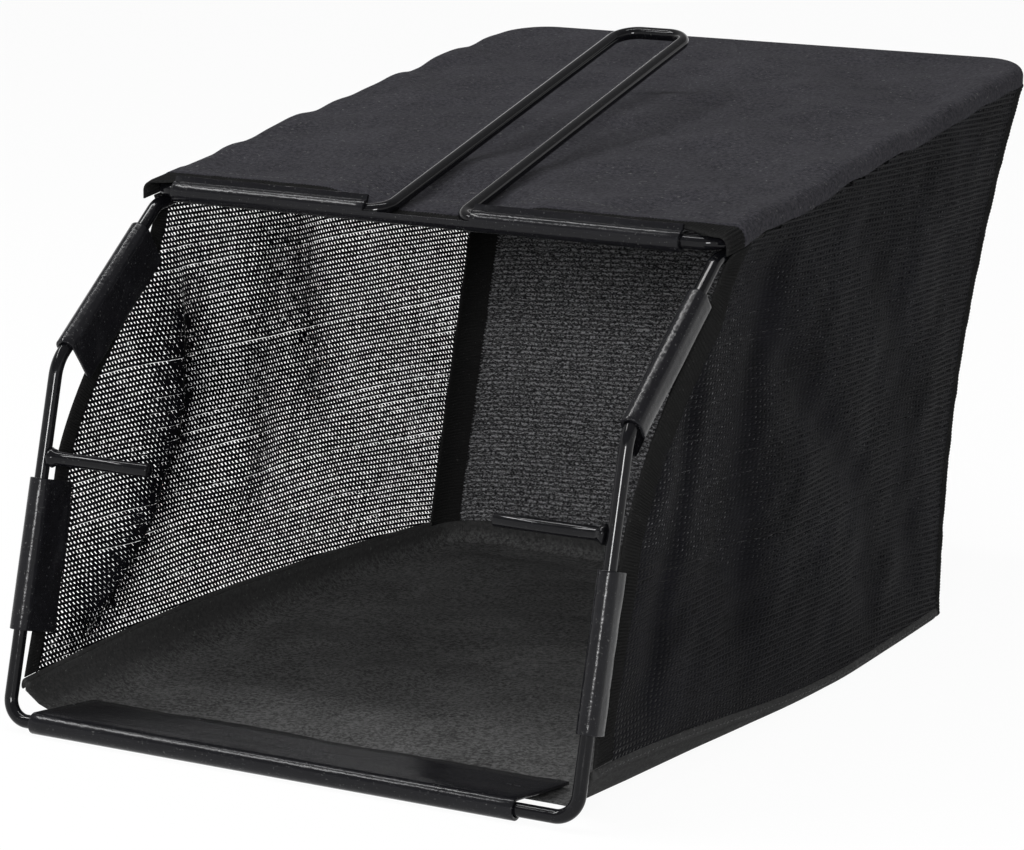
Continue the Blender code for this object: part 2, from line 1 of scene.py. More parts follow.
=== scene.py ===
"""Dresses the grass collection bag of a lawn scarifier for its picture.

Painted steel rods, plastic clip strips, canvas top, back and floor, open knit sides, ribbed
binding tape, piped floor seams and their stitching. X runs across the mouth, Y from the mouth
to the back, Z up. Sizes are in metres.
"""

import math

import bmesh
import bpy
import numpy as np
from mathutils import Matrix


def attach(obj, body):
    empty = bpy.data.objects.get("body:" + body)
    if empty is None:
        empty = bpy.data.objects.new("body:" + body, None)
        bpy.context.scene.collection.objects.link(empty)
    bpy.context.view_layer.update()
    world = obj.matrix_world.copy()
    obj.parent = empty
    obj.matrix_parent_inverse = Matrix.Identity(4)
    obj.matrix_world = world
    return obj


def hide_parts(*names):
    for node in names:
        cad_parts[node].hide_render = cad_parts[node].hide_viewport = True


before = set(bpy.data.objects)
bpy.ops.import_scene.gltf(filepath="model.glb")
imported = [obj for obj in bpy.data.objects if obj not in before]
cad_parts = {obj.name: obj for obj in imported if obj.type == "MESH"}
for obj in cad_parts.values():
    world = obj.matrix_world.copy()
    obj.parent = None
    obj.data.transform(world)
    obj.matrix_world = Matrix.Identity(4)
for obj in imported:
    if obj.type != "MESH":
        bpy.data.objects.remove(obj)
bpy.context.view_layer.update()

# Frame rods, as in the solids
ROD_RADIUS = 0.004
FIT_GAP = 0.0003
OVERALL_DEPTH = 0.634
HALF_MOUTH = 0.185
HALF_LOOP = 0.187
KNEE_HEIGHT = 0.2007
KNEE_SETBACK = 0.0536
BROW_SETBACK = 0.158
FOOT_BEND = 0.013
KNEE_BEND = 0.024
BROW_BEND = 0.016
STUB_LENGTH = 0.110
TOP_BAR_HEIGHT = 0.2873
TOP_BAR_SETBACK = 0.161
RAIL_SLOPE = 0.108
LOOP_FRONT_BEND = 0.014
LOOP_REAR_BEND = 0.032
HANDLE_OFFSET = -0.005
HANDLE_WIDTH = 0.0486
HANDLE_LENGTH = 0.302
HANDLE_RISE = 0.0759
HANDLE_ROOT_BEND = 0.013
HANDLE_TIP_BEND = 0.015
PIN_REACH = 0.0728
PIN_HEIGHT = 0.1474
ROD_SIDES = 24
PIN_SIDES = 32

# Clip strips
CLIP_THICKNESS = 0.002
CLIP_RADIUS = 0.0054
CLIP_OUTER = 0.006423
TOP_CLIP_LENGTH = 0.336
TOP_CLIP_OFFSET = -0.005
TOP_CLIP_TAIL = 0.0042
NOTCH_WIDTH = 0.071
BOTTOM_CLIP_LENGTH = 0.316
BOTTOM_CLIP_OFFSET = -0.009
BOTTOM_CLIP_TAIL = 0.060
SIDE_CLIP_TAIL = 0.025
SIDE_CLIP_LIP = 0.008
LOWER_CLIP_LENGTH = 0.0885
UPPER_CLIP_LENGTH = 0.098
LOWER_CLIP_START = {-1: 0.0515, 1: 0.0455}
UPPER_CLIP_START = {-1: 0.011, 1: 0.005}

# Fabric. Where two values are given, -1 is the left side and 1 the right
SHEET = 0.0012
LID_RADIUS = 0.0057
TOP_SKIRT = 0.0053
CORNER_RADIUS = 0.034
CORNER_FOOT_RADIUS = {-1: 0.034, 1: 0.017}
FOOT_DEPTH = 0.521
FOOT_SKEW = 0.010
FOOT_X = 0.188
FOOT_FLARE = {-1: 0.009, 1: 0.006}
REAR_SWEEP = {-1: 1.1, 1: 2.1}
SEAM_HEIGHT_FRONT = {-1: 0.019, 1: 0.025}
SEAM_HEIGHT_REAR = {-1: 0.012, 1: 0.0035}
SEAM_LIFT = {-1: 0.007, 1: 0.0}
FLOOR_TURN_UP_FRONT = 0.034
FLOOR_TURN_UP_REAR = 0.009
FLOOR_FRONT = 0.036
WALL_BILLOW = 0.005
BACK_BULGE = 0.016
HEM_WIDTH = 0.012
SIDE_HEM_WIDTH = {-1: 0.014, 1: 0.021}
SIDE_HEM_SHIFT = {-1: 0.004, 1: -0.0085}
EDGE_LOW = 0.42
EDGE_HIGH = 0.85
TAPE_THICKNESS = 0.0018
ROUGH_WALL_HEIGHT = 0.29
WELT_HEIGHT = 0.0055
WELT_HALF_THICKNESS = 0.0015
BAND_WIDTH = 0.028
BAND_LAP = 0.002
RIM_INSIDE = 0.0025
RIM_LAP = 0.0042
BACK_CANVAS_THICKNESS = 0.0006
LINING_THICKNESS = 0.0005
SEAM_RUN = 0.33

# Knit of the sides
FIRST_ROW_HEIGHT = 0.010
ROW_PITCH = 0.0031
STITCH_PITCH = {-1: 0.0036, 1: 0.0042}
ROW_TILT = -0.047
STITCH_DRIFT = 0.17
RIDGE_WIDTH = 0.00160
RIDGE_PROUD = 0.00038
THREAD_WIDTH = {-1: 0.00228, 1: 0.0029}
THREAD_PROUD = 0.00025
THREAD_LEAN = 0.83
# Widening of the threads along folds, shutting the holes: knit bunching and painted fold shade
THREAD_SHADE_PRESS = 0.52
FULL_SHADE_PRESS_FOLD = 0.005
KNIT_LAP = 0.003

# Tape and stitching
RIB_PITCH = 0.0021
RIB_DEPTH = 0.0009
STITCH_LENGTH = 0.0032
STITCH_GAP = 0.0016
STITCH_RADIUS = 0.00035

# Lamps (name, place, width and height, watts), all aimed at the bag's middle
LAMPS = (
    ("key", (-1.6, -0.8, 2.3), (1.6, 0.22), 26),
    ("streak", (-0.5, -0.02, 2.4), (0.2, 1.8), 22),
    ("front", (1.0, -2.5, 0.9), (0.6, 0.5), 44),
)
LAMP_AIM = (0, 0, 0.15)
SURROUNDINGS_STRENGTH = 0.34
BACKDROP_WHITE = 0.95

# Camera, worked out from the photograph's own edges
CAMERA_PLACE = (1.076427, -2.034819, 0.646405)
CAMERA_RIGHT = (0.878422, 0.477773, 0.010344)
CAMERA_DOWN = (0.111073, -0.183067, -0.976806)
CAMERA_AHEAD = (-0.464798, 0.859197, -0.213878)
LENS_LENGTH = 134.13
SENSOR_WIDTH = 36
FARTHEST_SEEN = 50

# Values that follow
BAR_Y = CLIP_OUTER - OVERALL_DEPTH / 2
BAR_Z = CLIP_OUTER
TOP_BAR = np.array([0, BAR_Y + TOP_BAR_SETBACK, BAR_Z + TOP_BAR_HEIGHT])
REAR_BAR_Y = OVERALL_DEPTH / 2 - SHEET / 2 - LID_RADIUS
REAR_TOP_Y = REAR_BAR_Y + LID_RADIUS
WALL_TOP_X = HALF_LOOP + LID_RADIUS
HEM_FRONT_Y = TOP_BAR[1] + CLIP_OUTER - FIT_GAP


# ---------------- finishes


class Finish:
    """A surface put together node by node, on a Principled shader."""

    def __init__(self, name, specular, roughness=0.5):
        self.material = bpy.data.materials.new(name)
        self.material.use_nodes = True
        self.tree = self.material.node_tree
        self.shader = self.tree.nodes["Principled BSDF"]
        self.shader.inputs["Roughness"].default_value = roughness
        self.shader.inputs["Specular IOR Level"].default_value = specular

    def node(self, kind, settings=None, **inputs):
        made = self.tree.nodes.new(kind)
        for key, value in (settings or {}).items():
            setattr(made, key, value)
        for key, value in inputs.items():
            made.inputs[key.replace("_", " ")].default_value = value
        return made

    def wire(self, source, target):
        self.tree.links.new(source, target)

    def place(self, stretch=(1, 1, 1), turn=(0, 0, 0)):
        """The piece's own coordinates in metres, stretched and turned."""
        source = self.node("ShaderNodeTexCoord").outputs["Object"]
        mapping = self.node("ShaderNodeMapping")
        mapping.inputs["Scale"].default_value = stretch
        mapping.inputs["Rotation"].default_value = turn
        self.wire(source, mapping.inputs["Vector"])
        return mapping.outputs["Vector"]

    def noise(self, scale, detail=3.0, rough=0.5, at=None):
        made = self.node("ShaderNodeTexNoise", Scale=scale, Detail=detail, Roughness=rough)
        self.wire(at or self.place(), made.inputs["Vector"])
        return made.outputs["Fac"]

    def wave(self, scale, at, direction, distortion):
        bands = {"bands_direction": direction}
        made = self.node(
            "ShaderNodeTexWave", bands, Scale=scale, Distortion=distortion, Detail=1.0
        )
        self.wire(at, made.inputs["Vector"])
        return made.outputs["Fac"]

    def spread(self, value, low, high, to_low=0.0, to_high=1.0):
        """The value stretched from low..high to to_low..to_high, and held at the ends."""
        made = self.node(
            "ShaderNodeMapRange", From_Min=low, From_Max=high, To_Min=to_low, To_Max=to_high
        )
        self.wire(value, made.inputs["Value"])
        return made.outputs["Result"]

    def sum(self, first, second, how="ADD"):
        """Two values or numbers added, or joined in another way."""
        made = self.node("ShaderNodeMath", {"operation": how})
        for index, part in enumerate((first, second)):
            if isinstance(part, (int, float)):
                made.inputs[index].default_value = part
            else:
                self.wire(part, made.inputs[index])
        return made.outputs["Value"]

    def tint(self, share, base, other):
        """A colour between two, by the share."""
        made = self.node("ShaderNodeMix", {"data_type": "RGBA"})
        self.wire(share, made.inputs["Factor"])
        for socket, colour in ((made.inputs[6], base), (made.inputs[7], other)):
            if isinstance(colour, tuple):
                socket.default_value = (*colour, 1)
            else:
                self.wire(colour, socket)
        return made.outputs[2]

    def colour(self, output):
        self.wire(output, self.shader.inputs["Base Color"])

    def roughness(self, output):
        self.wire(output, self.shader.inputs["Roughness"])

    def bump(self, height, strength, distance):
        made = self.node("ShaderNodeBump", Strength=strength, Distance=distance)
        self.wire(height, made.inputs["Height"])
        self.wire(made.outputs["Normal"], self.shader.inputs["Normal"])


def painted_steel():
    """Gloss black paint with a faint orange peel and a few dust specks."""
    made = Finish("black_gloss_paint", 0.2)
    specks = made.spread(made.noise(900, 2), 0.68, 0.74)
    made.colour(made.tint(specks, (0.004, 0.004, 0.005), (0.04, 0.04, 0.038)))
    made.roughness(made.spread(made.noise(60, 4, 0.6), 0.35, 0.75, 0.06, 0.16))
    made.bump(made.noise(350, 2), 0.06, 0.0006)
    return made.material


def clip_plastic():
    """Satin black plastic with streaks along the strip, scuffs and dust."""
    made = Finish("black_clip_plastic", 0.18)
    streaks = made.noise(1.0, 4, 0.6, made.place((14, 160, 160)))
    scuffs = made.spread(made.noise(1.0, 5, 0.7, made.place((30, 90, 90))), 0.60, 0.80)
    dust = made.spread(made.noise(700, 2), 0.66, 0.72, 0, 0.6)
    base = made.tint(streaks, (0.004, 0.004, 0.005), (0.011, 0.011, 0.013))
    base = made.tint(made.sum(scuffs, 0.35, "MULTIPLY"), base, (0.034, 0.035, 0.038))
    made.colour(made.tint(dust, base, (0.09, 0.09, 0.088)))
    made.roughness(made.spread(made.sum(streaks, scuffs), 0.3, 1.4, 0.14, 0.34))
    made.bump(made.sum(streaks, made.noise(240, 3)), 0.14, 0.0012)
    return made.material


def canvas(name, dark, light, dust_share, rim=None):
    """Close plain weave: two crossed thread directions, grain, soft patches and dust. With a
    rim (height, colour) the cloth fades to that colour over that height: a painted shade,
    darker up the floor's turned-up rim at the foot of the walls."""
    made = Finish(name, 0.04, 0.9)
    made.shader.inputs["Sheen Weight"].default_value = 0.02
    at = made.place()
    weave = made.sum(made.wave(260, at, "X", 0.6), made.wave(260, at, "Y", 0.6))
    grain = made.noise(430, 4, 0.75)
    patches = made.spread(made.noise(16, 5, 0.62), 0.3, 0.7, 0, 0.3)
    share = made.sum(made.spread(grain, 0.40, 0.60, 0, 0.7), patches)
    base = made.tint(share, dark, light)
    # painted shade: the cloth darkens towards the rim colour up the turned-up rim by the walls
    if rim:
        height = made.node("ShaderNodeSeparateXYZ")
        made.wire(at, height.inputs[0])
        base = made.tint(made.spread(height.outputs["Z"], 0.001, rim[0], 0, 0.8), base, rim[1])
    lint = made.spread(made.noise(420, 2, 0.6), 0.66, 0.73, 0, dust_share)
    made.colour(made.tint(lint, base, (0.16, 0.16, 0.155)))
    made.bump(made.sum(made.sum(weave, 0.35, "MULTIPLY"), grain), 0.45, 0.0007)
    return made.material


def knit_yarn():
    """Near-black polyester yarn, a little greyer where dust has settled."""
    made = Finish("black_mesh_knit", 0.03)
    patches = made.spread(made.noise(22, 4, 0.6), 0.35, 0.7)
    made.colour(made.tint(patches, (0.003, 0.003, 0.004), (0.007, 0.007, 0.009)))
    return made.material


def lining_knit():
    """The dark inner face of the back: rows of near-black stitches with short light dashes,
    which are painted highlights of light caught by the yarn.
    """
    made = Finish("black_lining_knit", 0.1, 0.8)
    at = made.place((1, 1, 1), (0, 0.06, 0))
    rows = made.spread(made.wave(105, at, "Z", 2.2), 0.02, 0.75, 0.25)
    painted_glints = made.spread(made.noise(1.0, 3, 0.7, made.place((560, 560, 1100))), 0.44, 0.62)
    share = made.sum(rows, painted_glints, "MULTIPLY")
    # the light colour is that of the painted highlights, far lighter than the black yarn
    made.colour(made.tint(share, (0.012, 0.012, 0.013), (0.30, 0.30, 0.31)))
    made.bump(made.sum(rows, painted_glints), 0.5, 0.001)
    return made.material


def ribbed_tape():
    """Black binding tape: its ribs are in the mesh, and this adds lint and yarn grain."""
    made = Finish("ribbed_tape", 0.02, 0.85)
    grain = made.noise(1800, 3, 0.6)
    lint = made.spread(made.noise(480, 2, 0.6), 0.66, 0.74, 0, 0.35)
    base = made.tint(made.spread(grain, 0.3, 0.7), (0.006, 0.006, 0.006), (0.020, 0.020, 0.020))
    made.colour(made.tint(lint, base, (0.11, 0.11, 0.105)))
    made.bump(grain, 0.4, 0.0006)
    return made.material


def seam_thread():
    """Black polyester sewing thread."""
    made = Finish("black_seam_thread", 0.5, 0.45)
    twist = made.noise(2500, 2)
    made.colour(made.tint(twist, (0.006, 0.006, 0.007), (0.016, 0.016, 0.017)))
    made.bump(twist, 0.3, 0.0003)
    return made.material


# Each finish, paired with a slot name
PAINT = painted_steel(), "black_gloss_paint"
PLASTIC = clip_plastic(), "black_clip_plastic"
TOP_CANVAS = (
    canvas("charcoal_canvas", (0.014, 0.0137, 0.017), (0.045, 0.044, 0.051), 0.5),
    "charcoal_canvas",
)
BACK_CANVAS = (
    canvas("back_canvas", (0.020, 0.020, 0.022), (0.034, 0.034, 0.037), 0.20),
    "charcoal_canvas",
)
# Painted shade: the floor's turned-up rim fades to this darker colour over its first 12 mm,
# standing in for the shade at the foot of the walls
FLOOR_RIM_PAINTED_SHADE = (0.012, (0.030, 0.030, 0.030))
FLOOR_CANVAS = (
    canvas("floor_canvas", (0.013, 0.013, 0.013), (0.116, 0.116, 0.116), 0.6, FLOOR_RIM_PAINTED_SHADE),
    "floor_canvas",
)
YARN = knit_yarn(), "black_mesh_knit"
LINING = lining_knit(), "black_mesh_knit"
TAPE = ribbed_tape(), "ribbed_tape"
THREAD = seam_thread(), "ribbed_tape"


# ---------------- meshes


def grid_faces(rows, columns, ring=False):
    """Quads of a grid of points. A ring's last column joins its first."""
    index = np.arange(rows * columns).reshape(rows, columns)
    if ring:
        index = np.concatenate([index, index[:, :1]], 1)
    quads = np.stack([index[:-1, :-1], index[1:, :-1], index[1:, 1:], index[:-1, 1:]], -1)
    return quads.reshape(-1, 4)


def add_piece(name, points, faces, finish):
    """A smooth-shaded piece that stays with the frame, from arrays of points and quads."""
    mesh = bpy.data.meshes.new(name)
    mesh.from_pydata(np.reshape(points, (-1, 3)).tolist(), [], np.asarray(faces).tolist())
    mesh.shade_smooth()
    material, slot = finish
    mesh.materials.append(material)
    piece = bpy.data.objects.new(name, mesh)
    bpy.context.scene.collection.objects.link(piece)
    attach(piece, "root")
    return piece


def close_up(piece):
    """Merges doubled points and turns every face outwards."""
    shape = bmesh.new()
    shape.from_mesh(piece.data)
    bmesh.ops.remove_doubles(shape, verts=shape.verts, dist=1e-6)
    bmesh.ops.recalc_face_normals(shape, faces=shape.faces)
    shape.to_mesh(piece.data)
    shape.free()
    piece.data.shade_smooth()


def add_tube(name, rings, finish, replaced):
    """A closed piece from rings of points."""
    faces = grid_faces(len(rings), rings.shape[1], ring=True)
    piece = add_piece(name, rings, faces, finish)
    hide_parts(replaced)
    close_up(piece)
    return piece


def capped(rings):
    """Rings of points with one more at each end, drawn together at its middle."""
    count = rings.shape[1]
    ends = [np.repeat(end.mean(1, keepdims=True), count, 1) for end in (rings[:1], rings[-1:])]
    return np.concatenate([ends[0], rings, ends[1]])


def thicken(piece, thickness, round_edges=0.0):
    """Gives a sheet its thickness about its middle, with rounded edges where asked."""
    wall = piece.modifiers.new("wall", "SOLIDIFY")
    wall.thickness = thickness
    wall.offset = 0
    wall.use_even_offset = True
    if round_edges:
        edge = piece.modifiers.new("rounded edges", "BEVEL")
        edge.width = round_edges
        edge.segments = 2
        edge.angle_limit = math.radians(50)


def unit(vectors):
    return vectors / np.linalg.norm(vectors, axis=-1, keepdims=True)


def unevenness(x, y, seed, longest, shortest, waves=14):
    """A soft uneven surface of about unit height: a sum of sine waves, each with its own
    direction, length and phase drawn from the seed, and smaller where it is shorter."""
    draw = np.random.default_rng(seed)
    total = 0.0
    for length in np.geomspace(longest, shortest, waves):
        angle, phase = draw.uniform(0, 2 * np.pi, 2)
        travel = (x * np.cos(angle) + y * np.sin(angle)) / length
        total = total + np.sin(2 * np.pi * travel + phase) * (length / longest) ** 0.6
    return total / math.sqrt(waves / 3)


def smooth_step(value):
    value = np.clip(value, 0, 1)
    return value * value * (3 - 2 * value)


def inner_part(share, first, last):
    """1 within a piece, fading to 0 over the first and the last part of the share."""
    return smooth_step(share / first) * smooth_step((1 - share) / last)


def grid(a_values, b_values):
    return np.meshgrid(np.asarray(a_values, float), np.asarray(b_values, float), indexing="ij")


# ---------------- rods


def rounded_route(corners):
    """Route through corners (point, bend radius): each bend is an arc that touches both runs,
    with a point about every 5 degrees. A radius of 0 is a plain end."""
    route = []
    places = [np.asarray(place, float) for place, _ in corners]
    for index, (_, radius) in enumerate(corners):
        corner = places[index]
        if radius == 0:
            route.append(corner[None])
            continue
        inward = unit(places[index - 1] - corner)
        outward = unit(places[(index + 1) % len(places)] - corner)
        half = math.acos(np.clip(inward @ outward, -1, 1)) / 2
        centre = corner + unit(inward + outward) * (radius / math.sin(half))
        first = corner + inward * (radius / math.tan(half)) - centre
        last = corner + outward * (radius / math.tan(half)) - centre
        sweep = math.pi - 2 * half
        angle = np.linspace(0, sweep, max(4, round(sweep / math.radians(5))) + 1)[:, None]
        arc = first * np.sin(sweep - angle) + last * np.sin(angle)
        route.append(centre + arc / math.sin(sweep))
    return np.concatenate(route)


def swept_rod(name, route, closed, replaced):
    """Round rod: each point is the route's, plus the radius times the cosine and sine of the
    point's angle along two directions square to the route, which turn with it as little as
    they can. Open ends close over a rounded rim."""
    if closed:
        tangent = unit(np.roll(route, -1, 0) - np.roll(route, 1, 0))
        radius = np.full(len(route), ROD_RADIUS)
    else:
        rim = (np.array([0, 0.0001, 0.0006]) + 1e-9)[:, None]
        start = route[0] + unit(route[1] - route[0]) * rim
        end = route[-1] + unit(route[-2] - route[-1]) * rim
        route = np.concatenate([start, route[1:-1], end[::-1]])
        tangent = unit(np.gradient(route, axis=0))
        radius = np.full(len(route), ROD_RADIUS)
        radius[[0, -1]] = 0
        radius[[1, -2]] = 0.85 * ROD_RADIUS
    side = [unit(np.cross(tangent[0], [0.3, 0.2, 0.93]))]
    for direction in tangent[1:]:
        side.append(unit(side[-1] - direction * (side[-1] @ direction)))
    side = np.array(side)
    if closed:
        final = unit(side[-1] - tangent[0] * (side[-1] @ tangent[0]))
        twist = math.atan2(np.cross(final, side[0]) @ tangent[0], final @ side[0])
        turn = twist * np.arange(len(route))[:, None] / len(route)
        side = side * np.cos(turn) + np.cross(tangent, side) * np.sin(turn)
    other = np.cross(tangent, side)
    angle = np.linspace(0, 2 * np.pi, ROD_SIDES, endpoint=False)[None, :, None]
    circle = side[:, None] * np.cos(angle) + other[:, None] * np.sin(angle)
    points = route[:, None] + radius[:, None, None] * circle
    if closed:
        points = np.concatenate([points, points[:1]])
    return add_tube(name, points, PAINT, replaced)


def rail_point(side, setback):
    return [side * HALF_LOOP, TOP_BAR[1] + setback, TOP_BAR[2] + RAIL_SLOPE * setback]


def mouth_corners(side):
    """Corners of one half of the mouth frame, from the stub's end to the foot."""
    drop = (2 * ROD_RADIUS + FIT_GAP) * math.hypot(1, RAIL_SLOPE)
    brow_z = TOP_BAR[2] + RAIL_SLOPE * (BROW_SETBACK - TOP_BAR_SETBACK) - drop
    x = side * HALF_MOUTH
    foot = np.array([x, BAR_Y, BAR_Z])
    knee = np.array([x, BAR_Y + KNEE_SETBACK, BAR_Z + KNEE_HEIGHT])
    brow = np.array([x, BAR_Y + BROW_SETBACK, brow_z])
    end = brow + unit(np.array([0, 1, RAIL_SLOPE])) * STUB_LENGTH
    return [(end, 0), (brow, BROW_BEND), (knee, KNEE_BEND), (foot, FOOT_BEND)]


def frame_rods():
    """The mouth frame, and the closed loop of rails, rear bar and handle, which is returned."""
    left, right = mouth_corners(-1), mouth_corners(1)
    route = rounded_route(left + right[::-1])
    swept_rod("mouth_frame_rod_painted", route, False, "mouth_frame_rod")
    rear = REAR_BAR_Y - TOP_BAR[1]
    halves = []
    for side in (-1, 1):
        leg = TOP_BAR + [HANDLE_OFFSET + side * HANDLE_WIDTH / 2, 0, 0]
        halves.append(
            [
                (leg + [0, HANDLE_LENGTH, HANDLE_RISE], HANDLE_TIP_BEND),
                (leg, HANDLE_ROOT_BEND),
                (rail_point(side, 0), LOOP_FRONT_BEND),
                (rail_point(side, rear), LOOP_REAR_BEND),
            ]
        )
    route = rounded_route(halves[0] + halves[1][::-1])
    return swept_rod("top_loop_rod_painted", route, True, "top_loop_and_handle_rod")


def hanging_pin(side, word):
    """Round pin: rings at distances along it from the weld, each proud of the rod's radius by
    a share of it. The weld bead is a raised fillet with a ripple round it, as a hand-run weld
    has."""
    setback = KNEE_SETBACK * PIN_HEIGHT / KNEE_HEIGHT
    root = HALF_MOUTH - ROD_RADIUS - FIT_GAP
    length = root - (HALF_MOUTH - PIN_REACH)
    along = [0, 0, 0.0008, 0.0022, 0.0036, 0.0048, 0.0056, 0.02, 0.04]
    along = np.array(along + [length - 0.0008, length - 0.0002, length, length])
    proud = np.array([-1, 0.30, 0.44, 0.40, 0.22, 0.07, 0, 0, 0, 0, -0.08, -0.25, -1])
    angle = np.linspace(0, 2 * np.pi, PIN_SIDES, endpoint=False)
    bead = np.clip(proud, 0, 1)[:, None]
    ripple = 1 + 0.22 * np.sin(5 * angle + 9 * along[:, None] / 0.004) * (bead > 0)
    radius = ROD_RADIUS * (1 + np.minimum(proud, 0)[:, None] + bead * ripple)
    x = side * (root - along)[:, None] + 0 * angle
    y = BAR_Y + setback + radius * np.cos(angle)
    z = BAR_Z + PIN_HEIGHT + radius * np.sin(angle)
    points = np.stack([x, y, z], -1)
    node = "hanging_pin_" + word
    add_tube(node + "_painted", points, PAINT, node)


# ---------------- clip strips


def wrap_section(end, tail_start, lip=0.0, extra=()):
    """Middle line of a clip's section round a rod at (0, 0), from the tail's end over the top
    (90 degrees) and round the front to the end angle, then straight back along the lip."""
    angles = np.union1d(np.arange(90, end, 7.5), [end, *extra])
    arc = CLIP_RADIUS * np.stack([np.cos(np.radians(angles)), np.sin(np.radians(angles))], 1)
    share = np.linspace(0, 1, 7)[:-1, None]
    tail = np.asarray(tail_start) + (arc[0] - tail_start) * share
    parts = [tail, arc]
    if lip:
        parts.append(arc[-1] + lip * np.array([[0.5, 0.0], [1.0, 0.0]]))
    return np.concatenate(parts)


def clip_sheet(node, section, origin, along, length, back, out, seed, notch=None):
    """Bent plastic sheet: origin plus travel along the rod, plus the section's two distances
    along back and out. The tail and lip wander a little, as warm-formed plastic does. A notch
    (its two ends in travel, middle, half width and floor) is left open above its floor."""
    travel = np.linspace(0, length, 49)
    if notch:
        travel = np.unique(np.concatenate([travel, notch[0]]))
    u, v = section[:, 0], section[:, 1]
    s, _ = np.meshgrid(travel, u, indexing="ij")
    off = np.clip(np.hypot(u, v) / CLIP_RADIUS - 1, 0, 3)
    wander = 0.00035 * off * unevenness(s, 0 * s + u * 3, seed, 0.16, 0.02, 7)
    normal = np.where(np.abs(v)[:, None] > np.abs(u)[:, None] * 0.2, out, -back)
    points = origin + along * s[..., None] + back * u[:, None] + out * v[:, None]
    points = points + normal * wander[..., None]
    faces = grid_faces(len(travel), len(u))
    if notch:
        _, middle, half_width, floor = notch
        centre = points.reshape(-1, 3)[faces].mean(1)
        open_part = (np.abs(centre[:, 0] - middle) < half_width) & (centre[:, 2] > floor)
        faces = faces[~open_part]
    piece = add_piece(node + "_moulded", points, faces, PLASTIC)
    thicken(piece, CLIP_THICKNESS, 0.0004)
    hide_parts(node)


def clip_strips():
    """The six clips: across the top with its notch for the handle, along the ground bar, and
    two up each side of the mouth."""
    across, back, up = np.eye(3)
    notch_floor = ROD_RADIUS / 8
    level = 180 - math.degrees(math.asin(notch_floor / CLIP_RADIUS))
    tail = [TOP_CLIP_TAIL * 0.35, CLIP_RADIUS + TOP_CLIP_TAIL * 0.94]
    section = wrap_section(292.5, tail, 0, [level])
    start = TOP_CLIP_LENGTH / 2
    edges = start + HANDLE_OFFSET - TOP_CLIP_OFFSET + np.array([-1, 1]) * NOTCH_WIDTH / 2
    notch = (edges, HANDLE_OFFSET, NOTCH_WIDTH / 2, TOP_BAR[2] + notch_floor)
    origin = TOP_BAR + [TOP_CLIP_OFFSET - start, 0, 0]
    clip_sheet("clip_strip_top", section, origin, across, TOP_CLIP_LENGTH, back, up, 3, notch)

    tail = [BOTTOM_CLIP_TAIL, CLIP_THICKNESS / 2 + FIT_GAP + SHEET + 0.0017 - BAR_Z]
    section = wrap_section(337.5, tail)
    origin = np.array([BOTTOM_CLIP_OFFSET - BOTTOM_CLIP_LENGTH / 2, BAR_Y, BAR_Z])
    clip_sheet("clip_strip_bottom", section, origin, across, BOTTOM_CLIP_LENGTH, back, up, 4)

    for side, word in ((-1, "left"), (1, "right")):
        brow, knee, foot = (place for place, _ in mouth_corners(side)[1:])
        section = wrap_section(270, [SIDE_CLIP_TAIL, CLIP_RADIUS], SIDE_CLIP_LIP)
        inward = np.array([-side, 0, 0])
        for place, low, high, start, length, seed in (
            ("lower", foot, knee, LOWER_CLIP_START[side], LOWER_CLIP_LENGTH, 5),
            ("upper", knee, brow, UPPER_CLIP_START[side], UPPER_CLIP_LENGTH, 7),
        ):
            along = unit(high - low)
            behind = np.array([0, along[2], -along[1]])
            node = "clip_strip_%s_%s" % (place, word)
            origin = low + along * start
            clip_sheet(node, section, origin, along, length, behind, inward, seed + side)


# ---------------- cloth shapes


def lid_height(y):
    """Height of the top panel over its side rails."""
    return TOP_BAR[2] + RAIL_SLOPE * (y - TOP_BAR[1]) + LID_RADIUS


def handle_dip(x, y):
    """How far the top panel gives way under the handle's two roots."""
    behind = y - TOP_BAR[1]
    needed = LID_RADIUS + ROD_RADIUS * 1.04 + FIT_GAP + SHEET
    needed = needed + (RAIL_SLOPE - HANDLE_RISE / HANDLE_LENGTH) * behind + 0.0004
    off = np.abs(x - HANDLE_OFFSET) - HANDLE_WIDTH / 2 - ROD_RADIUS - 0.002
    return np.clip(needed, 0, None) * smooth_step(1 - off / 0.045)


def seam_top(angle):
    """Height of the top's seam at an angle round a rear corner."""
    reach = (CORNER_RADIUS - LID_RADIUS) * (1 - np.sin(angle))
    return lid_height(REAR_BAR_Y - reach) - LID_RADIUS - TOP_SKIRT


def seam_foot(a, side):
    """Height of the floor seam from the front (a = 0) to the rear (a = 1)."""
    lift = SEAM_LIFT[side] * np.sin(np.pi * np.clip(a, 0, 1))
    front = SEAM_HEIGHT_FRONT[side]
    return front + (SEAM_HEIGHT_REAR[side] - front) * smooth_step(np.asarray(a) / 0.7) + lift


def seam_bow(a, side):
    """How far the floor seam stands over the straight line between its two ends."""
    chord = seam_foot(0, side) * (1 - a) + seam_foot(1, side) * a
    return seam_foot(a, side) - chord


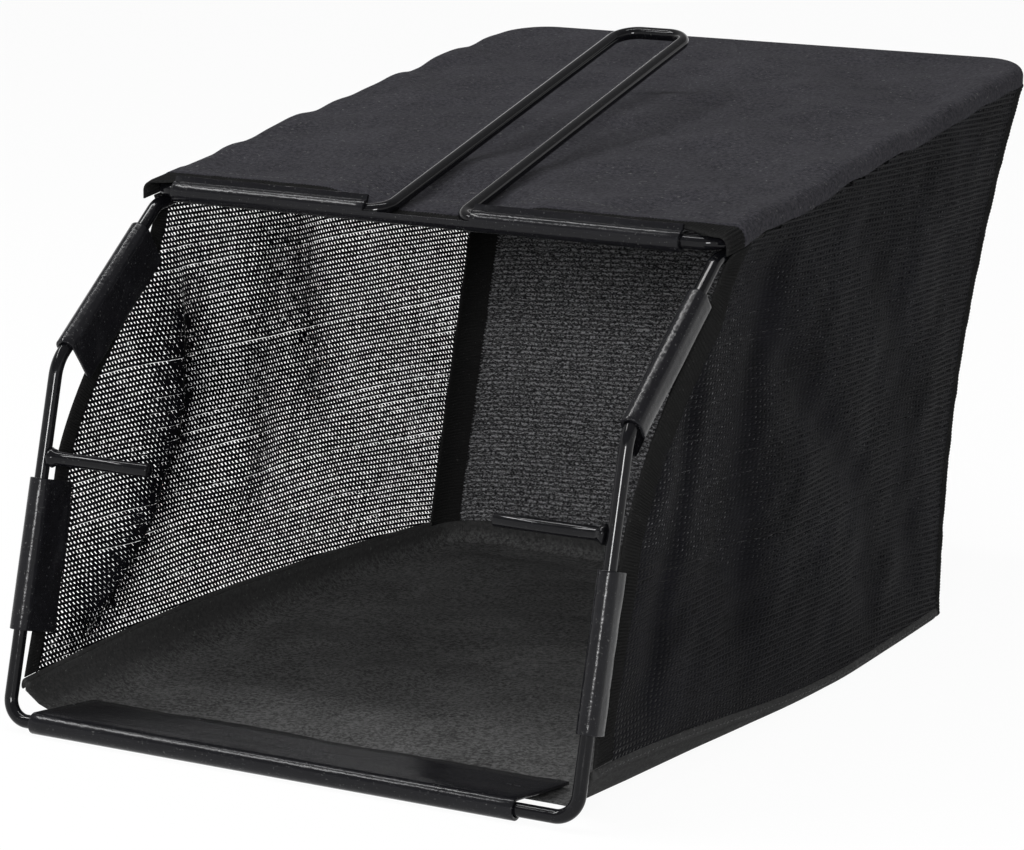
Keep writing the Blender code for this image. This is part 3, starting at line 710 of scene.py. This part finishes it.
def front_edge(b, side, inset=0.0):
    """(y, z) of a side panel's front edge: a straight lower run, a bend that cuts the knee's
    corner and a steep upper run, moved along Y by the side's own shift, which fades towards
    both ends. The inset moves the line into the panel."""
    foot = np.array([BAR_Y + 0.0165, SEAM_HEIGHT_FRONT[side]])
    low = np.array([BAR_Y + 0.053, BAR_Z + 0.144])
    knee = np.array([BAR_Y + 0.073, BAR_Z + 0.190])
    high = np.array([BAR_Y + 0.149, BAR_Z + 0.253])
    brow = np.array([HEM_FRONT_Y, lid_height(HEM_FRONT_Y) - LID_RADIUS - TOP_SKIRT])
    b = np.asarray(b, float)
    share = b[..., None]
    first = foot + (low - foot) * (share / EDGE_LOW)
    t = np.clip((share - EDGE_LOW) / (EDGE_HIGH - EDGE_LOW), 0, 1)
    bend = (1 - t) ** 2 * low + 2 * t * (1 - t) * knee + t**2 * high
    last = high + (brow - high) * ((share - EDGE_HIGH) / (1 - EDGE_HIGH))
    line = np.where(share < EDGE_LOW, first, np.where(share < EDGE_HIGH, bend, last))
    shift = SIDE_HEM_SHIFT[side] * np.interp(b, [0, 0.12, 0.75, 1], [0.5, 1, 1, 0])
    line = line + shift[..., None] * [1.0, 0.0]
    turn = np.interp(b, [0, 0.3, 0.55, 0.62, 0.8, 1], np.radians([0, -14, -30, -42, -50, 6.5]))
    return line + np.asarray(inset)[..., None] * np.stack([np.cos(turn), np.sin(turn)], -1)


def corner_radius(b, side):
    """Plan radius of a rear corner, from its foot to the top."""
    foot = CORNER_FOOT_RADIUS[side]
    return foot + (CORNER_RADIUS - foot) * np.clip(b, 0, 1)


def rear_edge(b, side, angle=0.0):
    """(y, z) of a rear corner: upright at the foot, sweeping back to the rear bar."""
    foot = BAR_Y + FOOT_DEPTH - side * FOOT_SKEW
    low = SEAM_HEIGHT_REAR[side]
    z = low + (seam_top(angle) - low) * b
    y = foot + (REAR_TOP_Y - foot) * np.clip(b, 0, 1) ** REAR_SWEEP[side]
    return np.stack([y - corner_radius(b, side) * (1 - np.sin(angle)) + 0 * z, z], -1)


def wall_x(a, b, side):
    """Distance of a side panel from the middle: widest at the rails, with a soft billow."""
    steepness = 2 + 38 * np.clip(1 - a, 0, 1) ** 6
    straight = FOOT_X + (WALL_TOP_X - FOOT_X) * np.clip(b, 0, 1) ** steepness
    flare = FOOT_FLARE[side] * np.sin(np.pi * np.clip(a, 0, 1) ** 1.2) * np.clip(1 - b, 0, 1) ** 3
    swell = np.sin(np.pi * np.clip(a, 0, 1)) * np.sin(np.pi * np.clip(b, 0, 1)) ** 1.5
    return straight + flare + WALL_BILLOW * swell


# Folds of the side panels: height of each point and its y, widths ahead and behind, size, and
# the reach over which the knit is pressed shut, a dark band that is also painted fold shade
FOLDS = {
    -1: [
        ([0.030, 0.053, 0.079, 0.097, 0.114, 0.130, 0.160, 0.191, 0.222],
         [-0.237, -0.212, -0.180, -0.157, -0.146, -0.133, -0.127, -0.125, -0.127],
         0.030, 0.0085, 0.0068, 0.030),
        ([0.130, 0.165, 0.200, 0.250], [0.040, 0.030, 0.024, 0.020],
         0.030, 0.020, 0.0030, 0.024),
        ([0.075, 0.100, 0.150, 0.250], [-0.050, -0.030, -0.028, -0.020],
         0.040, 0.030, 0.0025, 0.022),
    ],
    1: [
        ([0.054, 0.107, 0.148, 0.191, 0.245], [-0.235, -0.220, -0.202, -0.191, -0.181],
         0.016, 0.010, 0.0030, 0.02),
        ([0.062, 0.107, 0.155, 0.190, 0.26], [-0.127, -0.120, -0.125, -0.120, -0.090],
         0.045, 0.020, 0.0045, 0.02),
        ([0.020, 0.108, 0.187, 0.250], [0.060, 0.050, -0.045, -0.100],
         0.04, 0.026, 0.0040, 0.02),
        ([0.028, 0.160, 0.228, 0.280], [0.126, 0.107, 0.070, 0.020],
         0.05, 0.03, 0.0035, 0.02),
    ],
}


def fold_lines(y, z, side):
    """For each fold: how far a point lies behind its line, the fold's strength at the point's
    height, which fades out past both ends, and its other measures."""
    for heights, ys, *measures in FOLDS[side]:
        fade = smooth_step((z - heights[0] + 0.03) / 0.05)
        fade = fade * smooth_step((heights[-1] + 0.05 - z) / 0.08)
        yield y - np.interp(z, heights, ys), fade, measures


def wall_folds(a, b, y, z, side):
    """Soft folds: each is a swelling beside a line down the wall, rising slowly in front of it
    and falling faster behind it, and fading to nothing at the panel's edges."""
    total = 0.0
    for off, fade, (ahead, behind, size, _) in fold_lines(y, z, side):
        width = np.where(off < 0, ahead, behind)
        total = total - size * np.exp(-((off / width) ** 2)) * fade
    total = total + 0.0009 * unevenness(y, z, 40 + side, 0.16, 0.03)
    return total * inner_part(a, 0.10, 0.12) * inner_part(b, 0.12, 0.10)


def fold_shade_press(y, z, side):
    """How far the knit is pressed shut along each fold, from 0 to 1: a soft band about the
    fold's line, weaker where the fold is shallower. The shut knit is also a painted shade,
    a dark band where the fold's shadow falls."""
    total = 0.0
    for off, fade, (_, _, size, reach) in fold_lines(y, z, side):
        band = np.exp(-(((off - 0.1 * reach) / reach) ** 2))
        total = total + band * fade * min(1, size / FULL_SHADE_PRESS_FOLD)
    return np.clip(total, 0, 1)


def side_surface(a, b, side, inset=0.0):
    """Points of a side panel: straight rows from the front edge to the rear corner."""
    front = front_edge(b, side, inset)
    rear = rear_edge(b, side)
    y, z = np.moveaxis(front + (rear - front) * a[..., None], -1, 0)
    start = front_edge(b, side)[..., 0]
    a = (y - start) / (rear[..., 0] - start)
    z = z + seam_bow(a, side) * (1 - b)
    x = side * (wall_x(a, b, side) + wall_folds(a, b, y, z, side))
    return np.stack([x, y, z], -1)


def wall_place(y, z, side):
    """(a, b) of a wall's points with the given depth and height: b starts as the height's
    share, and each of sixteen passes corrects it by the height still missing."""
    b = (z - SEAM_HEIGHT_FRONT[side]) / ROUGH_WALL_HEIGHT
    for _ in range(16):
        front, rear = front_edge(b, side), rear_edge(b, side)
        a = (y - front[..., 0]) / (rear[..., 0] - front[..., 0])
        height = front[..., 1] * (1 - a) + rear[..., 1] * a
        height = height + seam_bow(a, side) * (1 - b)
        b = b + (z - height) / 0.30
    return a, b


def corner_surface(turn, b, side):
    """Points round a rear corner, from the side panel (turn 0) to the back (turn 1)."""
    angle = turn * np.pi / 2
    rear = rear_edge(b, side, angle)
    x = wall_x(np.ones_like(b), b, side) - corner_radius(b, side) * (1 - np.cos(angle))
    return np.stack([side * x, rear[..., 0], rear[..., 1]], -1)


def back_surface(c, b):
    """Points of the flat of the back, from its left corner (c = 0) to its right (c = 1)."""
    left = corner_surface(np.ones_like(b), b, -1)
    right = corner_surface(np.ones_like(b), b, 1)
    points = left + (right - left) * c[..., None]
    upright = np.sin(np.pi * np.clip(b, 0, 1)) ** 1.3
    points[..., 1] += BACK_BULGE * np.sin(np.pi * c) ** 1.2 * upright
    crease = 0.0012 * unevenness(points[..., 0], points[..., 2], 71, 0.2, 0.035)
    points[..., 1] += crease * inner_part(c, 0.1, 0.1) * inner_part(b, 0.1, 0.1)
    return points


# ---------------- cloth pieces


def top_wrinkles(x, y):
    """Slack of the top: soft waves, a few long drag lines and a sewn fold behind the front."""
    waves = 0.0017 * unevenness(x, y, 11, 0.22, 0.035)
    drag = 0.0
    for x0, y0, lean, width, size in (
        (-0.12, 0.02, 0.35, 0.014, 0.0018),
        (0.10, 0.10, -0.30, 0.018, 0.0018),
        (0.13, -0.06, -0.80, 0.012, 0.0016),
        (-0.15, 0.16, 0.60, 0.016, 0.0015),
    ):
        off = (x - x0) + lean * (y - y0)
        reach = np.exp(-(((y - y0) / 0.09) ** 2))
        drag = drag + size * np.exp(-((off / width) ** 2)) * reach
    fold = 0.0007 * smooth_step((TOP_BAR[1] + 0.034 - y) / 0.003)
    return waves + drag - 0.0006, fold


def rim_directions(straight, angles, columns):
    """Level directions out of a grid's left, rear and right edges: sideways along the straight
    rows, turning through the corners' angles, and back along the rear. The left and right
    rows' own directions come first."""
    turn = np.concatenate([np.zeros(straight), angles])
    right = np.stack([np.cos(turn), np.sin(turn), np.zeros_like(turn)], -1)
    left = right * [-1, 1, 1]
    back = np.tile([0.0, 1.0, 0.0], (columns, 1))
    return left, right, np.concatenate([left[:-1], back, right[:-1][::-1]])


def open_rim(flat):
    """Indices of the points along a grid's left, rear and right edges, and the points."""
    index = np.arange(flat[..., 0].size).reshape(flat.shape[:2])
    rim = np.concatenate([index[:-1, 0], index[-1], index[:-1, -1][::-1]])
    return rim, flat.reshape(-1, 3)[rim]


def add_rimmed_sheet(name, flat, rim, rings, finish, replaced):
    """A cloth piece: a grid whose rim runs on through rings of points."""
    index = flat[..., 0].size + np.arange(rings[..., 0].size).reshape(rings.shape[:2])
    index = np.concatenate([rim[None], index])
    quads = np.stack([index[:-1, :-1], index[:-1, 1:], index[1:, 1:], index[1:, :-1]], -1)
    faces = np.concatenate([grid_faces(*flat.shape[:2])[:, ::-1], quads.reshape(-1, 4)])
    points = np.concatenate([flat.reshape(-1, 3), rings.reshape(-1, 3)])
    piece = add_piece(name, points, faces, finish)
    thicken(piece, SHEET)
    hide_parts(replaced)
    return piece


def top_cloth():
    """The top: a grid across the rails on their slope, less the dip under the handle, then
    rings that roll over the rails through a quarter circle and hang down to the seams."""
    columns, straight = 121, 100
    angles = np.linspace(0, np.pi / 2, 13)
    radius = CORNER_RADIUS - LID_RADIUS
    front = HEM_FRONT_Y + HEM_WIDTH - 0.002
    bent = HALF_LOOP - radius * (1 - np.cos(angles))
    half = np.concatenate([np.full(straight, HALF_LOOP), bent])
    run = np.linspace(front, REAR_BAR_Y - radius, straight, endpoint=False)
    y = np.concatenate([run, REAR_BAR_Y - radius * (1 - np.sin(angles))])
    share = np.linspace(-1, 1, columns)
    x = half[:, None] * share
    y = np.broadcast_to(y[:, None], x.shape)
    waves, fold = top_wrinkles(x, y)
    edges = smooth_step((1 - np.abs(share)) / 0.10) * smooth_step((REAR_BAR_Y - y) / 0.03)
    edges = edges * smooth_step((y - front) / 0.02)
    rail = smooth_step((np.abs(share) - 0.86) / 0.14) * smooth_step((REAR_BAR_Y - 0.02 - y) / 0.06)
    ripple = 0.0012 + 0.0016 * unevenness(y, 0.2 * x, 31, 0.16, 0.03, 9)
    lift = rail * np.clip(ripple, 0, 0.003) * smooth_step((y - front) / 0.03)
    z = lid_height(y) - handle_dip(x, y) + waves * edges + fold + lift
    flat = np.stack([x, y, z], -1)
    rim, edge = open_rim(flat)
    outward = rim_directions(straight, angles, columns)[2]
    roll = np.radians(np.arange(15, 91, 15))
    reach = LID_RADIUS * np.append(np.sin(roll), [1, 1, 1])
    drop = LID_RADIUS * np.append(np.cos(roll) - 1, [-1, -1, -1])
    drop[-3:] -= TOP_SKIRT * np.array([0.35, 0.7, 1.05])
    rings = edge + outward * reach[:, None, None]
    rings[..., 2] += drop[:, None]
    return add_rimmed_sheet("top_panel_cloth", flat, rim, rings, TOP_CANVAS, "top_panel")


def tape_piece(name, surface, length, outward, replaced, width_steps=7):
    """Ribbed tape on a surface of (along, across) shares: a closed section whose two faces are
    raised by a rounded wave along its length, which fades out towards the selvedges."""
    ribs = round(length / RIB_PITCH)
    along, across = grid(np.linspace(0, 1, ribs * 5 + 1), np.linspace(0, 1, width_steps))
    points = surface(along, across)
    normal = unit(np.cross(np.gradient(points, axis=0), np.gradient(points, axis=1))) * outward
    wave = np.abs(np.sin(np.pi * along * ribs)) * inner_part(across, 0.12, 0.12)
    wave = wave * (1 + 0.25 * unevenness(along * length, across * 0.01, 5, 0.05, 0.006, 8))
    raised = normal * (TAPE_THICKNESS / 2 + RIB_DEPTH * (wave[..., None] - 0.5))
    section = np.concatenate([points + raised, (points - raised)[:, ::-1]], 1)
    return add_tube(name, capped(section), TAPE, replaced)


def side_tape(side, word):
    """Tape down a side's front edge, from the floor seam to the top's tape."""
    start = (WELT_HEIGHT + 2 * FIT_GAP) / (BAR_Z + TOP_BAR_HEIGHT)

    def surface(along, across):
        b = start + along * (1 - start)
        return side_surface(np.zeros_like(b), b, side, across * SIDE_HEM_WIDTH[side])

    node = "hem_tape_" + word
    return tape_piece(node + "_ribbed", surface, SEAM_RUN, side, node)


def top_tape():
    """Tape across the top's front edge: up the left rail's side, over it, across on the top
    panel's height, over the right rail and down. It widens forwards round both corners."""
    half = HALF_LOOP
    drop = TOP_SKIRT - 2 * FIT_GAP
    angles = np.radians(np.arange(90, 0, -6))
    rolled = half + LID_RADIUS * np.sin(angles)
    x = np.concatenate([[half + LID_RADIUS], rolled, np.linspace(half, 0, 60)])
    z = np.concatenate([[-LID_RADIUS - drop], LID_RADIUS * (np.cos(angles) - 1), np.zeros(60)])
    x = np.concatenate([-x, x[:-1][::-1]])
    z = np.concatenate([z, z[:-1][::-1]])
    travel = np.concatenate([[0], np.cumsum(np.hypot(np.diff(x), np.diff(z)))])
    length = travel[-1]

    def surface(along, across):
        px = np.interp(along * length, travel, x)
        rise = np.interp(along * length, travel, z)
        corner = smooth_step((np.abs(px) - half + 0.030) / 0.030)
        y = HEM_FRONT_Y - 0.011 * corner * (1 - across) + across * HEM_WIDTH
        base = lid_height(y) - handle_dip(np.clip(px, -half, half), y)
        return np.stack([px, y, base + rise], -1)

    return tape_piece("hem_tape_top_ribbed", surface, length, 1, "hem_tape_top")


def prism_sides(near, far, kept):
    """Quads of the kept three-sided prisms, from the corners' indices at their two ends."""
    sides = np.stack([near, far, np.roll(far, -1, -1), np.roll(near, -1, -1)], -1)
    return sides[kept].reshape(-1, 4)


def corner_index(corners, start):
    """Running numbers of the prisms' corners, from the start on."""
    return start + np.arange(corners[..., 0].size).reshape(corners.shape[:3])


def side_knit(side, word):
    """Open knit: ridges run along rows a row pitch apart, and flat slanted threads join each
    ridge to the next, leaving slanted holes. Ridge and thread are three-sided prisms on the
    wall's surface, and every row starts a sixth of a stitch further on than the one below."""
    pitch = STITCH_PITCH[side]
    draw = np.random.default_rng(90 + side)
    rows, stitches = np.arange(-8, 118), np.arange(-12, int(0.66 / pitch))
    row, stitch = np.meshgrid(rows, stitches, indexing="ij")
    shape = row.shape
    row_shift = draw.normal(0, 0.00012, len(rows) + 1)
    y = BAR_Y + (stitch + row * STITCH_DRIFT) * pitch + draw.normal(0, 0.00010, shape)
    z = FIRST_ROW_HEIGHT + row * ROW_PITCH + ROW_TILT * (y - BAR_Y)
    droop = 0.012 * np.clip((y - 0.02) / 0.2, 0, 2) ** 2 * np.clip(1 - z / 0.17, 0, 1)
    z = z - droop + 0.0004 * np.sin(y / 0.031 + row * 0.21) + row_shift[row - rows[0]]

    def on_wall(y, z, proud):
        a, b = wall_place(y, z, side)
        x = wall_x(a, b, side) + wall_folds(a, b, y, z, side) + proud
        return np.stack([side * x, y, z], -1), a, b

    width = RIDGE_WIDTH * (1 + draw.normal(0, 0.10, shape))
    ridge = []
    for offset, proud in ((-0.5, 0), (0.05, RIDGE_PROUD), (0.5, 0)):
        place, a, b = on_wall(y, z + offset * width, proud)
        ridge.append(place)
        if proud:
            crest_a, crest_b = a, b
    ridge = np.stack(ridge, 2)
    front = front_edge(crest_b, side)[..., 0]
    inside = (y - front > SIDE_HEM_WIDTH[side] - KNIT_LAP) & (crest_a < 1.006)
    inside &= (crest_b > WELT_HEIGHT / ROUGH_WALL_HEIGHT - 0.008) & (crest_b < 1.008)

    lean = side * THREAD_LEAN * ROW_PITCH
    thick = THREAD_WIDTH[side] * (1 + draw.normal(0, 0.08, shape))
    # threads widen along the folds and shut the holes: partly the knit bunching, partly painted
    # fold shade
    thick = thick * (1 + THREAD_SHADE_PRESS * fold_shade_press(y, z, side))
    thread = []
    for end in (0.22, 0.78):
        centre_y = y + pitch * 0.5 + lean * (end - 0.5) + draw.normal(0, 0.00012, shape)
        centre_z = z + ROW_PITCH * end + ROW_TILT * (centre_y - y)
        for offset, proud in ((-0.5, 0), (0.0, THREAD_PROUD), (0.5, 0)):
            place, _, _ = on_wall(centre_y + offset * thick, centre_z, proud + 0.0001)
            thread.append(place)
    thread = np.stack(thread, 2)
    joined = np.zeros_like(inside)
    joined[:-1] = inside[:-1] & inside[1:]

    index = corner_index(ridge, 0)
    along = prism_sides(index[:, :-1], index[:, 1:], inside[:, :-1] & inside[:, 1:])
    index = corner_index(thread, ridge[..., 0].size)
    between = prism_sides(index[..., :3], index[..., 3:], joined)
    points = np.concatenate([ridge.reshape(-1, 3), thread.reshape(-1, 3)])
    used, faces = np.unique(np.concatenate([along, between]), return_inverse=True)
    faces = faces.reshape(-1, 4)
    if side > 0:
        faces = faces[:, ::-1]
    node = "mesh_side_" + word
    piece = add_piece(node + "_knit", points[used], faces, YARN)
    piece.data.shade_flat()
    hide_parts(node)
    return piece


def back_pieces():
    """The back with the rest of both rounded corners: canvas outside, dark knit lining within."""
    start = (BAND_WIDTH - BAND_LAP) / (CORNER_RADIUS * np.pi / 2)
    b_values = np.linspace(0, 1, 90)
    turn, b = grid(np.linspace(start, 1, 8)[:-1], b_values)
    left = corner_surface(turn, b, -1)
    right = corner_surface(turn, b, 1)[::-1]
    c, b = grid(np.linspace(0, 1, 110), b_values)
    points = np.concatenate([left, back_surface(c, b), right])
    faces = grid_faces(*points.shape[:2])[:, ::-1]
    outer = points + [0, BACK_CANVAS_THICKNESS / 2, 0]
    shell = add_piece("back_panel_canvas", outer, faces, BACK_CANVAS)
    thicken(shell, BACK_CANVAS_THICKNESS)
    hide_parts("back_panel")
    inner = points - [0, 0.0008, 0]
    lining = add_piece("back_panel_lining", inner, faces, LINING)
    thicken(lining, LINING_THICKNESS)
    return shell, lining


def corner_band(side, word):
    """Woven band round a rear corner, a little on to the side panel and the back."""
    reach = BAND_WIDTH / (CORNER_RADIUS * np.pi / 2)

    def surface(along, across):
        return corner_surface(-0.03 + across * (reach + 0.03), along, side)

    node = "corner_band_" + word
    return tape_piece(node + "_woven", surface, SEAM_RUN, -side, node, 13)


def floor_cloth():
    """The floor: a fine grid on the ground with low creases, whose rim turns up to the seams.
    The foremost part of each rim is drawn back from the mouth."""
    columns, straight = 71, 110
    angles = np.linspace(0, np.pi / 2, 9)
    a = np.linspace(0, 1, straight, endpoint=False)
    turn_up = np.full(straight + len(angles), FLOOR_TURN_UP_REAR)
    turn_up[:straight] += (FLOOR_TURN_UP_FRONT - FLOOR_TURN_UP_REAR) * (1 - a) ** 1.3
    edges, rises, pulls = {}, {}, {}
    for side in (-1, 1):
        wall = side_surface(a, np.zeros_like(a), side)
        pulls[side] = (BAR_Y + FLOOR_FRONT - wall[0, 1]) * np.clip(1 - a / 0.15, 0, 1)
        wall[:, 1] += pulls[side]
        corner = corner_surface(angles / (np.pi / 2), np.zeros_like(angles), side)
        edges[side] = np.concatenate([wall, corner])
        rises[side] = edges[side][:, 2] - 2 * FIT_GAP - SHEET / 2
    left_way, right_way, directions = rim_directions(straight, angles, columns)
    left = edges[-1] - left_way * turn_up[:, None]
    right = edges[1] - right_way * turn_up[:, None]
    share = np.linspace(0, 1, columns)
    flat = left[:, None] + (right - left)[:, None] * share[:, None]
    x, y = flat[..., 0], flat[..., 1]
    crease = np.clip(0.0013 * unevenness(x, y, 23, 0.18, 0.03) + 0.0006, 0, None)
    crease = crease * inner_part(share, 0.08, 0.08) * smooth_step((0.19 - y) / 0.02)
    behind_clip = smooth_step((y - BAR_Y - BOTTOM_CLIP_TAIL - 0.008) / 0.02)
    flat[..., 2] = SHEET / 2 + crease * behind_clip

    reach = np.concatenate([turn_up[:-1], np.full(columns, turn_up[-1]), turn_up[:-1][::-1]])
    outward = directions * reach[:, None]
    outward[:straight, 1] -= pulls[-1]
    outward[-straight:, 1] -= pulls[1][::-1]
    back = rises[-1][-1] + (rises[1][-1] - rises[-1][-1]) * share
    rise = np.concatenate([rises[-1][:-1], back, rises[1][:-1][::-1]])
    rim, edge = open_rim(flat)
    steps = np.linspace(0, 1, 9)[1:]
    lift = np.interp(steps, [0, 0.35, 0.7, 1], [0, 0.12, 0.45, 1])
    rings = edge + outward * steps[:, None, None]
    rings[..., 2] += rise * lift[:, None]
    rings[-2:] -= directions * np.array([0.0012, RIM_INSIDE])[:, None, None]
    rings = np.concatenate([rings, rings[-1:] + [0, 0, RIM_LAP]])
    return add_rimmed_sheet("floor_panel_cloth", flat, rim, rings, FLOOR_CANVAS, "floor_panel")


def welt_surface(along, across, side):
    """The raised floor seam: the side panel's lowest strip."""
    welt = WELT_HEIGHT / (BAR_Z + TOP_BAR_HEIGHT)
    return side_surface(along, across * welt, side)


def floor_welt(side, word):
    """Piping along the floor seam: a rounded section, thicker and thinner with the stitches."""
    a, angle = grid(np.linspace(0, 1, 160), np.linspace(0, 2 * np.pi, 14, endpoint=False))
    middle = welt_surface(a, 0.5 + 0.5 * np.sin(angle), side)
    pucker = 1 + 0.10 * np.sin(a * 0.5 / (STITCH_LENGTH + STITCH_GAP) * 2 * np.pi)
    thickness = WELT_HALF_THICKNESS * pucker * np.cos(angle)
    points = middle + thickness[..., None] * [side, 0, 0]
    node = "floor_welt_" + word
    return add_tube(node + "_piping", capped(points), FLOOR_CANVAS, node)


def stitches(name, line, normal):
    """Row of sewn stitches along a line: each is a short six-sided spindle that starts and ends
    in the cloth and stands proud between, at even distances along the line."""
    step = np.linalg.norm(np.diff(line, axis=0), axis=1)
    travel = np.concatenate([[0], np.cumsum(step)])
    starts = np.arange(STITCH_GAP, travel[-1] - STITCH_LENGTH, STITCH_LENGTH + STITCH_GAP)
    s = starts[:, None] + np.linspace(0, 1, 5) * STITCH_LENGTH
    centre = np.stack([np.interp(s, travel, line[:, i]) for i in range(3)], -1)
    up = unit(np.stack([np.interp(s, travel, normal[:, i]) for i in range(3)], -1))
    across = np.cross(unit(np.gradient(centre, axis=1)), up)
    thick = STITCH_RADIUS * np.array([0, 0.8, 1, 0.8, 0])[:, None]
    rise = STITCH_RADIUS * np.array([-0.6, 0.35, 0.7, 0.35, -0.6])[:, None]
    angle = np.linspace(0, 2 * np.pi, 6, endpoint=False)
    ring = across[:, :, None] * (thick * np.cos(angle))[..., None]
    ring = ring + up[:, :, None] * (rise + thick * np.sin(angle))[..., None]
    points = centre[:, :, None] + ring
    first_point = np.arange(len(starts))[:, None, None] * len(thick) * len(angle)
    faces = (grid_faces(len(thick), len(angle), ring=True) + first_point).reshape(-1, 4)
    piece = add_piece(name, points, faces, THREAD)
    close_up(piece)
    return piece


def seam_stitches():
    """Stitching along the top's front fold and along both faces of the floor welts."""
    x = np.linspace(-HALF_LOOP + 0.004, HALF_LOOP - 0.004, 200)
    y = np.full_like(x, TOP_BAR[1] + 0.0335)
    waves, fold = top_wrinkles(x, y)
    edges = smooth_step((1 - np.abs(x / HALF_LOOP)) / 0.10)
    z = lid_height(y) - handle_dip(x, y) + waves * edges + fold + SHEET / 2
    up = np.tile([0.0, 0.0, 1.0], (len(x), 1))
    sewn = {"top": [stitches("top_fold_stitches", np.stack([x, y, z], -1), up)]}
    for side, word in ((-1, "left"), (1, "right")):
        sewn[word] = []
        a = np.linspace(0.01, 0.985, 240)
        for face, place in ((1, "outer"), (-1, "inner")):
            line = welt_surface(a, np.full_like(a, 0.5), side)
            line[:, 0] += side * face * WELT_HALF_THICKNESS
            way = np.tile([float(side * face), 0.0, 0.0], (len(a), 1))
            name = "floor_welt_%s_stitches_%s" % (word, place)
            sewn[word].append(stitches(name, line, way))
    return sewn


# ---------------- stage


def backdrop():
    """Pale floor that curves up into a low round wall: a profile of (radius, height) turned
    about Z. Its colour is plain white to the camera and in reflections, with part of the
    shading kept so that the shadow stays."""
    radius = np.array([0.0, 1.0, 4.0, 7.5, 8.2, 8.7, 9.0, 9.0])
    height = np.array([0.0, 0.0, 0.0, 0.0, 0.12, 0.45, 1.0, 4.0]) - 0.0002
    angle = np.linspace(0, 2 * np.pi, 64, endpoint=False)
    x, y = radius[:, None] * np.cos(angle), radius[:, None] * np.sin(angle)
    points = np.stack([x, y, height[:, None] + 0 * angle], -1)
    made = Finish("pale_floor", 0.0, 0.9)
    made.colour(made.tint(made.noise(3, 2), (0.92, 0.92, 0.92), (0.94, 0.94, 0.94)))
    path = made.node("ShaderNodeLightPath").outputs
    seen = made.sum(path["Is Camera Ray"], path["Is Glossy Ray"], "MAXIMUM")
    seen = made.sum(seen, path["Is Transmission Ray"], "MAXIMUM")
    white = made.node("ShaderNodeEmission", Color=(1, 1, 1, 1), Strength=1)
    mix = made.node("ShaderNodeMixShader")
    made.wire(made.sum(seen, BACKDROP_WHITE, "MULTIPLY"), mix.inputs[0])
    made.wire(made.shader.outputs[0], mix.inputs[1])
    made.wire(white.outputs[0], mix.inputs[2])
    made.wire(mix.outputs[0], made.tree.nodes["Material Output"].inputs["Surface"])
    mesh = bpy.data.meshes.new("floor")
    faces = grid_faces(len(radius), len(angle), ring=True)
    mesh.from_pydata(points.reshape(-1, 3).tolist(), [], faces.tolist())
    mesh.materials.append(made.material)
    floor = bpy.data.objects.new("floor", mesh)
    bpy.context.scene.collection.objects.link(floor)
    close_up(floor)


def look(right, up, ahead):
    """Turn whose X, Y and Z axes are right, up and straight back."""
    return Matrix([right, up, [-value for value in ahead]]).transposed()


def stage():
    """Backdrop, even surroundings, soft lamps and the camera."""
    backdrop()
    scene = bpy.context.scene
    world = bpy.data.worlds.new("even_surroundings")
    scene.world = world
    world.use_nodes = True
    shown = world.node_tree.nodes["Background"]
    shown.inputs["Color"].default_value = (1, 1, 1, 1)
    shown.inputs["Strength"].default_value = SURROUNDINGS_STRENGTH

    for name, place, size, power in LAMPS:
        lamp = bpy.data.lights.new(name, "AREA")
        lamp.shape = "RECTANGLE"
        lamp.size, lamp.size_y = size
        lamp.energy = power
        holder = bpy.data.objects.new(name, lamp)
        holder.location = place
        ahead = unit(np.array(LAMP_AIM) - place)
        side = unit(np.cross(ahead, [0, 0, 1]))
        holder.rotation_euler = look(side, np.cross(side, ahead), ahead).to_euler()
        scene.collection.objects.link(holder)

    camera = bpy.data.cameras.new("camera")
    camera.lens = LENS_LENGTH
    camera.sensor_width = SENSOR_WIDTH
    camera.clip_end = FARTHEST_SEEN
    holder = bpy.data.objects.new("camera", camera)
    up = -np.array(CAMERA_DOWN)
    holder.rotation_euler = look(CAMERA_RIGHT, up, CAMERA_AHEAD).to_euler()
    holder.location = CAMERA_PLACE
    scene.collection.objects.link(holder)
    scene.camera = holder
    scene.view_settings.view_transform = "Standard"


# ---------------- assembly


def build():
    """All pieces, and the stage."""
    loop = frame_rods()
    clip_strips()
    cover = top_cloth()
    shell, lining = back_pieces()
    floor = floor_cloth()
    sewn = seam_stitches()
    front_tape = top_tape()
    for side, word in ((-1, "left"), (1, "right")):
        hanging_pin(side, word)
        knit = side_knit(side, word)
        edge = side_tape(side, word)
        welt = floor_welt(side, word)
        band = corner_band(side, word)
    stage()


build()
